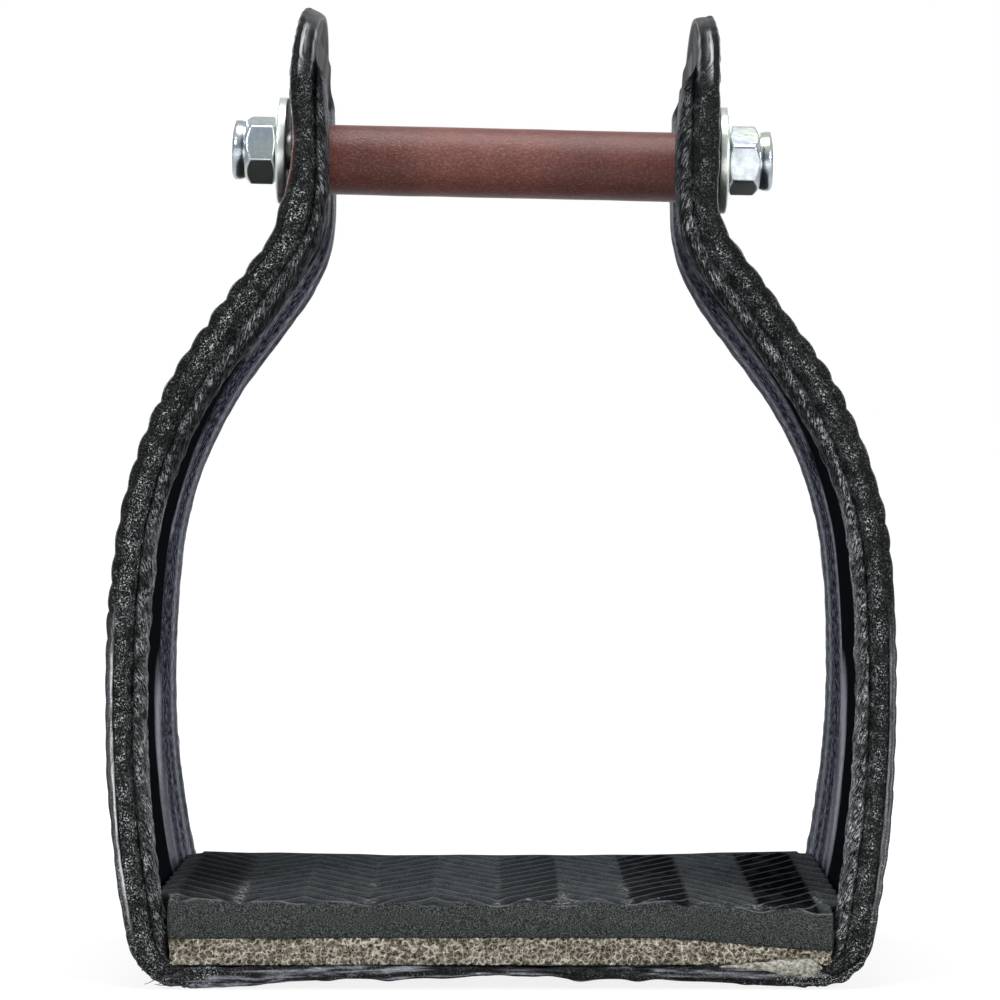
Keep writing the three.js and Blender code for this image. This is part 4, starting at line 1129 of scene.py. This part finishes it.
def nut_profile():
    """Face, hexagon, shoulder, collar bead and the seat of the nylon ring, as places and radii."""
    walls = [(along, 9.0) for along in np.linspace(NUT_START + 0.02, HEX_END - 0.02, 44)]
    face = [(NUT_START, r) for r in (BORE_RADIUS + 0.5, 5.0, 5.6, 6.0)]
    groove = [(0, 5.95), (0.1, 5.99), (0.25, 5.97), (0.45, 6.02), (0.8, 6.13), (1.3, COLLAR_RADIUS)]
    rim = [(0.9, COLLAR_RADIUS), (0.45, 6.05), (0.15, 5.7), (0.02, 5.35)]
    rim += [(0, 5.1), (0.08, 4.98), (0.35, 4.95)]
    bead = [(HEX_END + place, r) for place, r in groove] + [(NUT_END - place, r) for place, r in rim]
    seat = [(NUT_END - 0.6, 5.3), (HEX_END - 0.3, 5.3)]
    seat += [(HEX_END - 0.3, BORE_RADIUS), (NUT_START + 0.5, BORE_RADIUS)]
    return np.array(face + walls + bead + seat)


def rod_profile():
    along = np.linspace(-ROD_END, ROD_END, 560)
    return np.concatenate([
        [(-ROD_END, r) for r in (0.002, 1.5, 3.0)],
        np.stack([along, np.minimum(ROD_RADIUS, 3.3 + ROD_END - np.abs(along))], 1),
        [(ROD_END, r) for r in (3.0, 1.5, 0.002)],
    ])


roller_profile = divided(rounded(box_profile(-ROLLER_END, ROLLER_END, ROLLER_BORE, ROLLER_RADIUS), 0.45), 1.2)
ring_piece("roller_tube", "roller", roller_profile, ROLLER_SIDES, PAINT,
           drop=ROLLER_HANG, body="roller", shape=roller_shape)

grid = revolve(rod_profile(), ROD_SIDES, thread_shape)
faces = ring_faces(grid)
add_mesh("rod", on_pin(grid, shift=ROD_SHIFT), faces, STEEL, "pin_rod")

washer_profile = rounded(box_profile(WASHER_START, WASHER_END, BORE_RADIUS, WASHER_RADIUS), 0.55, 5)
insert_corners = [
    (HEX_END, BORE_RADIUS), (HEX_END, INSERT_RADIUS), (INSERT_END, INSERT_RADIUS),
    (INSERT_END + 0.2, 4.7), (INSERT_END + 0.2, BORE_RADIUS),
]
for side, name in SIDES.items():
    washer = divided(washer_profile, 0.8)
    ring_piece(f"flat_washer_{name}", f"washer_{name}", washer, WASHER_SIDES, ZINC, side)
    shape = nut_shape(math.radians(NUT_TURN[side]) * side)
    nut = nut_profile()
    ring_piece(f"hex_nut_{name}", f"lock_nut_{name}", nut, NUT_SIDES, ZINC, side, shape=shape)
    insert = rounded(insert_corners, 0.2)
    ring_piece(f"lock_ring_{name}", f"nylon_insert_{name}", insert, INSERT_SIDES, NYLON, side)

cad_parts["frame_band"].data.materials.clear()
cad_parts["frame_band"].data.materials.append(BAND)

# Tread

LIP_TOP = 4.2
TREAD_HALF_DEPTH = BASE_DEPTH / 2 - 1.2
FOAM_TOP = 9.45
RUBBER_TOP = 16.6
TREAD_DROOP = 2.3
DROOP_LENGTH = 36
RIB_PITCH = 8.9
RIB_RUN = 12.8
RIB_SLOPE = 1.7
RIB_START = 25.1  # where one column of painted shade begins
RUBBER_WALL_LEAN = math.tan(math.radians(4))
FOAM_SEAT_HEIGHT = 1.7


def inside_half_width(inward, z):
    lean = math.radians(ARM_LEAN)
    return BASE_HALF + (CORNER_RADIUS - inward) / math.cos(lean) + (z - CORNER_RADIUS) * math.tan(lean)


TREAD_FRONT_HALF = inside_half_width(WEB + 2.2, RUBBER_TOP) - 1.6
ROLL_INNER = BASE_DEPTH / 2 - 11


def tread_half_width(y, z):
    middle = inside_half_width(WEB, z) - 1.1
    front = np.minimum(middle, TREAD_FRONT_HALF)
    return lerp(middle, front, smooth(np.abs(y), ROLL_INNER, ROLL_INNER + 5))


def sag(x, y):
    frontness = (1 - y / TREAD_HALF_DEPTH) / 2
    return TREAD_DROOP * smooth(x, TREAD_FRONT_HALF - DROOP_LENGTH, TREAD_FRONT_HALF) * frontness


def foam_top(x, y):
    return FOAM_TOP + 0.25 * (1 - (x / TREAD_FRONT_HALF) ** 2) - sag(x, y)


def ribs(x, y):
    """How near a point lies to a rib's crest: parallel ribs that turn back at each column."""
    run = (x - RIB_START) % (2 * RIB_RUN)
    zigzag = RIB_SLOPE * np.minimum(run, 2 * RIB_RUN - run)
    phase = (y - zigzag) / RIB_PITCH
    return 0.5 + 0.5 * np.cos(2 * np.pi * phase)


# painted shade on every other column of ribs, stronger to the right, and a patch near the left end
def column_shade(x):
    run = (x - RIB_START) % (2 * RIB_RUN)
    inside = smooth(run, 0, 0.7) * (1 - smooth(run, RIB_RUN - 0.9, RIB_RUN - 0.2))
    end_patch = smooth(x, -66, -64) * (1 - smooth(x, -55, -52))
    return np.clip(inside * lerp(0.2, 1, smooth(x, -30, 52)) + 0.45 * end_patch, 0, 1)


def kept_inside(y, wide, narrow):
    """1 over the tread and 0 near its rear edge."""
    return 1 - smooth(y, TREAD_HALF_DEPTH - wide, TREAD_HALF_DEPTH - narrow)


def rubber_top(x, y):
    lift = 0.9 * (x / TREAD_FRONT_HALF) ** 2
    front = smooth(-y, TREAD_HALF_DEPTH - 9, TREAD_HALF_DEPTH)
    wave = 0.42 * np.cos(2 * np.pi * (x - RIB_START) / RIB_RUN - np.pi) * (1 + 0.4 * noise(x / 9, 4, 4))
    ridge = kept_inside(y, 7, 1) * (0.55 - 0.35 * front) * ribs(x, y) ** 2 + front * wave
    return RUBBER_TOP - 0.35 + lift - sag(x, y) + ridge + 0.12 * noise(x / 8, y / 8, 2)


def wall_loop(step, z):
    """Places round the tread's outline at a height, counter-clockwise from the front left corner."""
    front_half = float(tread_half_width(np.array(TREAD_HALF_DEPTH), z))
    across = np.linspace(-1, 1, int(2 * front_half / step))
    deep = np.linspace(-1, 1, int(2 * TREAD_HALF_DEPTH / step)) * TREAD_HALF_DEPTH
    side_x, wide, half = tread_half_width(deep, z)[:-1], across[:-1], TREAD_HALF_DEPTH
    back, back_x = across[::-1][:-1], tread_half_width(deep, z)[::-1][:-1]
    x = np.concatenate([wide * front_half, side_x, back * front_half, -back_x])
    y = np.concatenate([0 * wide - half, deep[:-1], 0 * wide + half, deep[::-1][:-1]])
    return x, y


def outward(x, y):
    """Unit outward direction round a closed loop of points."""
    dx, dy = np.roll(x, -1) - np.roll(x, 1), np.roll(y, -1) - np.roll(y, 1)
    length = np.maximum(np.hypot(dx, dy), 1e-9)
    return dy / length, -dx / length


CELL_COUNT = 40
CELL_JITTER = np.random.default_rng(5).uniform(0.1, 0.9, (CELL_COUNT, CELL_COUNT, CELL_COUNT, 3))
NEIGHBOURS = [(dx, dy, dz) for dx in (-1, 0, 1) for dy in (-1, 0, 1) for dz in (-1, 0, 1)]


def cell_edges(points, size):
    """How near points lie to the wall between two cells of a jittered grid: 0 on the wall."""
    p = points / size
    cell = np.floor(p).astype(int)
    nearest = np.full(len(p), 9.0)
    second = np.full(len(p), 9.0)
    for step in NEIGHBOURS:
        other = cell + step
        at = other % CELL_COUNT
        distance = np.linalg.norm(p - (other + CELL_JITTER[at[:, 0], at[:, 1], at[:, 2]]), axis=1)
        second = np.minimum(second, np.maximum(nearest, distance))
        nearest = np.minimum(nearest, distance)
    return second - nearest


def foam_pores(points):
    """Depth of the pores at points of the foam's walls, and how much painted shade their hollows get."""
    hole = smooth(cell_edges(points, 1.25), 0.08, 0.4)
    lesser = smooth(cell_edges(points + 50, 0.8), 0.12, 0.5)
    rough = noise(points[:, 0] / 3, points[:, 1] / 3, points[:, 2] / 3)
    return 0.7 * hole + 0.2 * lesser + 0.25 * rough, np.clip(0.8 * hole + 0.25 * lesser - 0.1, 0, 1)


def foam_layer():
    """Porous walls as rings by height, with a flat top and a hollow seat over the tucked leather."""
    x, y = wall_loop(0.3, RUBBER_TOP)
    out_x, out_y = outward(x, y)
    t = np.linspace(0, 1, 22)[:, None]
    z = lerp(np.full_like(x, LIP_TOP + 0.1)[None], foam_top(x, y)[None] - 0.05, t)
    bow = 0.35 * np.sin(np.pi * t) * noise(x / 15, y / 15, 6)[None]
    walls = np.stack(np.broadcast_arrays(x[None] + out_x * bow, y[None] + out_y * bow, z), -1)
    depth, deep = (values.reshape(z.shape) for values in foam_pores(walls.reshape(-1, 3)))
    walls[..., 0] -= out_x * depth
    walls[..., 1] -= out_y * depth
    top = walls[-1:] * np.array([0.955, 0.94, 1.0]) + np.array([0, 0, 0.05])
    seat = walls[:1] * np.array([0.955, 0.93, 1.0])
    raised = seat + np.array([0, 0, FOAM_SEAT_HEIGHT])
    inner = raised * np.array([0.86, 1.0, 1.0])
    flat = np.zeros((1, len(x)))
    return np.concatenate([inner, raised, seat, walls, top]), np.concatenate([flat, flat, flat, deep, flat])


def rim_of(grid):
    """The outer ring of a grid, counter-clockwise from its first corner."""
    return np.concatenate([grid[0, :-1], grid[:-1, -1], grid[-1, ::-1][:-1], grid[::-1, 0][:-1]])


def rubber_wall(rim, top_faces, index):
    """Rings of the wall down from the rim, with the underside as a last ring further in."""
    x, y = rim[:, 0], rim[:, 1]
    out_x, out_y = outward(x, y)
    low = foam_top(x, y) + 0.02
    rings, faces, last, first = [], top_faces, rim_of(index), index.size
    for drop in np.linspace(0, 1, 18)[1:]:
        z = lerp(rim[:, 2], low, drop)
        lean = -(RUBBER_TOP - z) * RUBBER_WALL_LEAN * (np.abs(out_x) > 0.7)
        bulge = 0.22 * math.sin(math.pi * drop) + 0.12 * noise(x / 6, y / 6, z / 3 + 7) + lean
        rings.append(np.stack([x + out_x * bulge, y + out_y * bulge, z], -1))
    rings.append(rings[-1] * np.array([0.94, 0.94, 1.0]) + np.array([0, 0, 0.05]))
    for _ in rings:
        ring = first + np.arange(len(x))
        faces += np.stack([last, ring, np.roll(ring, -1), np.roll(last, -1)], -1).tolist()
        last, first = ring, first + len(x)
    return rings, faces


def rubber_weights(px, ry):
    """Weights over the rubber's top: pale crests and front rim, painted shade in the grooves and on alternate
    columns, and dust.
    """
    rim_line = bell(ry, -TREAD_HALF_DEPTH, 0.8) * smooth(noise(px / 4, 1, 1), -0.3, 0.5)
    crest = smooth(ribs(px, ry), 0.95, 0.997) * (0.5 + 0.1 * column_shade(px)) * kept_inside(ry, 5, 2)
    seam = np.abs((px - RIB_START + RIB_RUN / 2) % RIB_RUN - RIB_RUN / 2)
    dusty = bell(seam, 0, 0.9) * smooth(-ry, 0, 40) * smooth(noise(px / 13, ry / 13, 5), -0.2, 0.5)
    front_dust = 0.8 * bell(ry, 4 - TREAD_HALF_DEPTH, 1.6) * smooth(noise(px / 5, 3, 3), 0.05, 0.5)
    return {
        "raw": np.zeros_like(px),
        "rib": np.maximum(0.9 * rim_line, crest),
        # painted shade in the grooves
        "groove": 0.5 * (1 - smooth(ribs(px, ry), 0.1, 0.45)),
        "painted_column_shade": column_shade(px) * kept_inside(ry, 6, 3),
        "dust": np.maximum(dusty, front_dust),
    }


def rubber_layer():
    """Ribbed top over a grid, walls down from its rim, and a flat underside."""
    cx, ry = np.meshgrid(np.linspace(-1, 1, 280), np.linspace(-1, 1, 214) * TREAD_HALF_DEPTH)
    px = cx * tread_half_width(ry, RUBBER_TOP)
    top = np.stack([px, ry, rubber_top(px, ry)], -1)
    index = np.arange(px.size).reshape(px.shape)
    rings, faces = rubber_wall(rim_of(top), grid_faces(*px.shape), index)
    points = np.concatenate([top.reshape(-1, 3), *rings])
    below = np.zeros(len(points) - px.size)
    weights = {}
    for key, values in rubber_weights(px, ry).items():
        weights[key] = np.concatenate([values.ravel(), below + (key == "raw")])
    return points, faces, weights


GLUE_START = 43.0
GLUE_END = 63.2


def glue_blob():
    """Glue squeezed out in front of the foam and down over the cover's edge."""
    up = np.linspace(0, 2 * np.pi, 36, endpoint=False)
    across, up = np.meshgrid(np.linspace(0, 1, 120), up, indexing="ij")
    x = lerp(GLUE_START, GLUE_END, across)
    fat = (0.12 + 0.88 * smooth(across, 0, 0.7)) * np.sqrt(1 - 0.97 * smooth(across, 0.88, 1.0))
    fat = fat * (0.85 + 0.25 * noise(x / 2.5, 1, 4))
    height = 1.8 * fat * (0.92 + 0.15 * noise(x / 3.1, 6, 1))
    z = LIP_TOP - 0.35 * smooth(x, 50, 60) + height * np.sin(up) + 0.1 * noise(x / 1.2, up, 2)
    y = -TREAD_HALF_DEPTH - 1.15 - 0.75 * fat * np.cos(up) + 0.12 * noise(x / 0.6, up * 2, 8)
    return np.stack([x, y, z], -1)


grid, deep = foam_layer()
faces = ring_faces(grid)
placed = bent(*np.moveaxis(grid, -1, 0))
piece = add_mesh("foam_layer", placed, faces, FOAM, "tread_foam", weights={"deep": deep})

points, faces, weights = rubber_layer()
placed = bent(*points.T)
piece = add_mesh("rubber_layer", placed, faces, RUBBER, "tread_rubber", weights=weights)

grid = glue_blob()
faces = ring_faces(grid)
add_mesh("glue_squeeze", bent(*np.moveaxis(grid, -1, 0)), faces, GLUE, "glue_bead")

# Studio

AIM = (0, 0, 0.1)
WHITE = (1.0, 1.0, 1.0)
BLACK = (0.0, 0.0, 0.0)
COOL = (0.85, 0.9, 1)
FLOOR_REACH = 30
FLOOR_DROP = 0.0004
CAMERA_PLACE = (-0.0001, -0.85, 0.1056)
CAMERA_LENS = 146.7
CAMERA_SHIFT = -0.05


def area_lamp(name, place, size, power, color=WHITE):
    data = bpy.data.lights.new(name, "AREA")
    data.shape = "RECTANGLE"
    data.size, data.size_y = size
    data.energy = power
    data.color = color
    lamp = bpy.data.objects.new(name, data)
    bpy.context.scene.collection.objects.link(lamp)
    lamp.location = place
    lamp.rotation_euler = (Vector(AIM) - Vector(place)).to_track_quat("-Z", "Y").to_euler()
    lamp.visible_camera = False


area_lamp("top_lamp", (0, -0.12, 0.95), (0.42, 0.34), 5.2)
area_lamp("front_left_lamp", (-0.7, -1.05, 0.85), (0.22, 0.3), 7.5, (0.97, 0.985, 1))
area_lamp("front_right_lamp", (0.8, -0.95, 0.5), (0.25, 0.4), 6.5)
area_lamp("rear_left_lamp", (-0.5, 0.75, 0.4), (0.3, 0.5), 2.5, COOL)
area_lamp("rear_right_lamp", (0.5, 0.75, 0.4), (0.3, 0.5), 2.5, COOL)


def ray_kinds(t):
    """Whether a ray comes from the camera, and whether it is mirrored or passes through."""
    rays = t.add("LightPath", {}).outputs
    return rays["Is Camera Ray"], t.larger(rays["Is Glossy Ray"], rays["Is Transmission Ray"])


def light_world():
    """White to the camera, plain light on the object, and white above and behind in the metal."""
    world = bpy.data.worlds.new("studio")
    bpy.context.scene.world = world
    world.use_nodes = True
    t = Nodes(world.node_tree)
    from_camera, from_metal = ray_kinds(t)
    direction = t.coordinates("Generated")
    high = t.maths("SUBTRACT", 1.0, t.times(t.part_of(direction, 2, 0.35, 0.6), 0.6))
    behind = t.times(t.part_of(direction, 1, -0.1, 0.35), high)
    overhead = t.times(t.part_of(direction, 2, 0.25, 0.7), 0.45)
    mirrored = t.mix(t.larger(behind, overhead), (0.24, 0.29, 0.33), WHITE)
    color = t.mix(from_metal, (0.19, 0.2, 0.215), mirrored)
    t.feed(t.tree.nodes["Background"], "Color", t.mix(from_camera, color, WHITE))


def floor_material():
    """White to the camera away from the object, with the object's shadow near it."""
    material, t = new_material("floor_white")
    from_camera, from_metal = ray_kinds(t)
    place = t.coordinates()
    away = t.add("VectorMath", {0: place}, operation="LENGTH").outputs["Value"]
    far = t.add("MapRange", {"Value": away, "From Min": 0.1, "From Max": 0.32}).outputs[0]
    shown = t.mix(far, (0.86, 0.86, 0.86), WHITE)
    ahead = t.maths("SUBTRACT", 1.0, t.part_of(place, 1, -0.45, -0.2))
    mirrored = t.mix(t.larger(ahead, t.part_of(place, 1, 0.4, 0.9)), (0.04, 0.045, 0.05), (0.9, 0.9, 0.9))
    glow = t.mix(from_camera, t.mix(from_metal, BLACK, mirrored), shown)
    diffuse = t.mix(from_camera, (0.6, 0.6, 0.6), (0.18, 0.18, 0.18))
    t.finish(diffuse, 1.0, Emission_Color=glow, Emission_Strength=1.0, Specular_IOR_Level=0.0)
    return material


def add_floor():
    mesh = bpy.data.meshes.new("floor")
    corners = [(x * FLOOR_REACH, y * FLOOR_REACH, 0) for x, y in ((-1, -1), (1, -1), (1, 1), (-1, 1))]
    mesh.from_pydata(corners, [], [(0, 1, 2, 3)])
    mesh.materials.append(floor_material())
    floor = bpy.data.objects.new("floor", mesh)
    bpy.context.scene.collection.objects.link(floor)
    floor.location.z = -FLOOR_DROP


def add_camera():
    data = bpy.data.cameras.new("camera")
    data.sensor_width = 36
    data.lens = CAMERA_LENS
    data.shift_y = CAMERA_SHIFT
    data.clip_start = 0.01
    data.clip_end = 100
    camera = bpy.data.objects.new("camera", data)
    bpy.context.scene.collection.objects.link(camera)
    camera.location = CAMERA_PLACE
    camera.rotation_euler = (math.pi / 2, 0, 0)
    bpy.context.scene.camera = camera


light_world()
add_floor()
add_camera()
bpy.context.scene.view_settings.view_transform = "Standard"
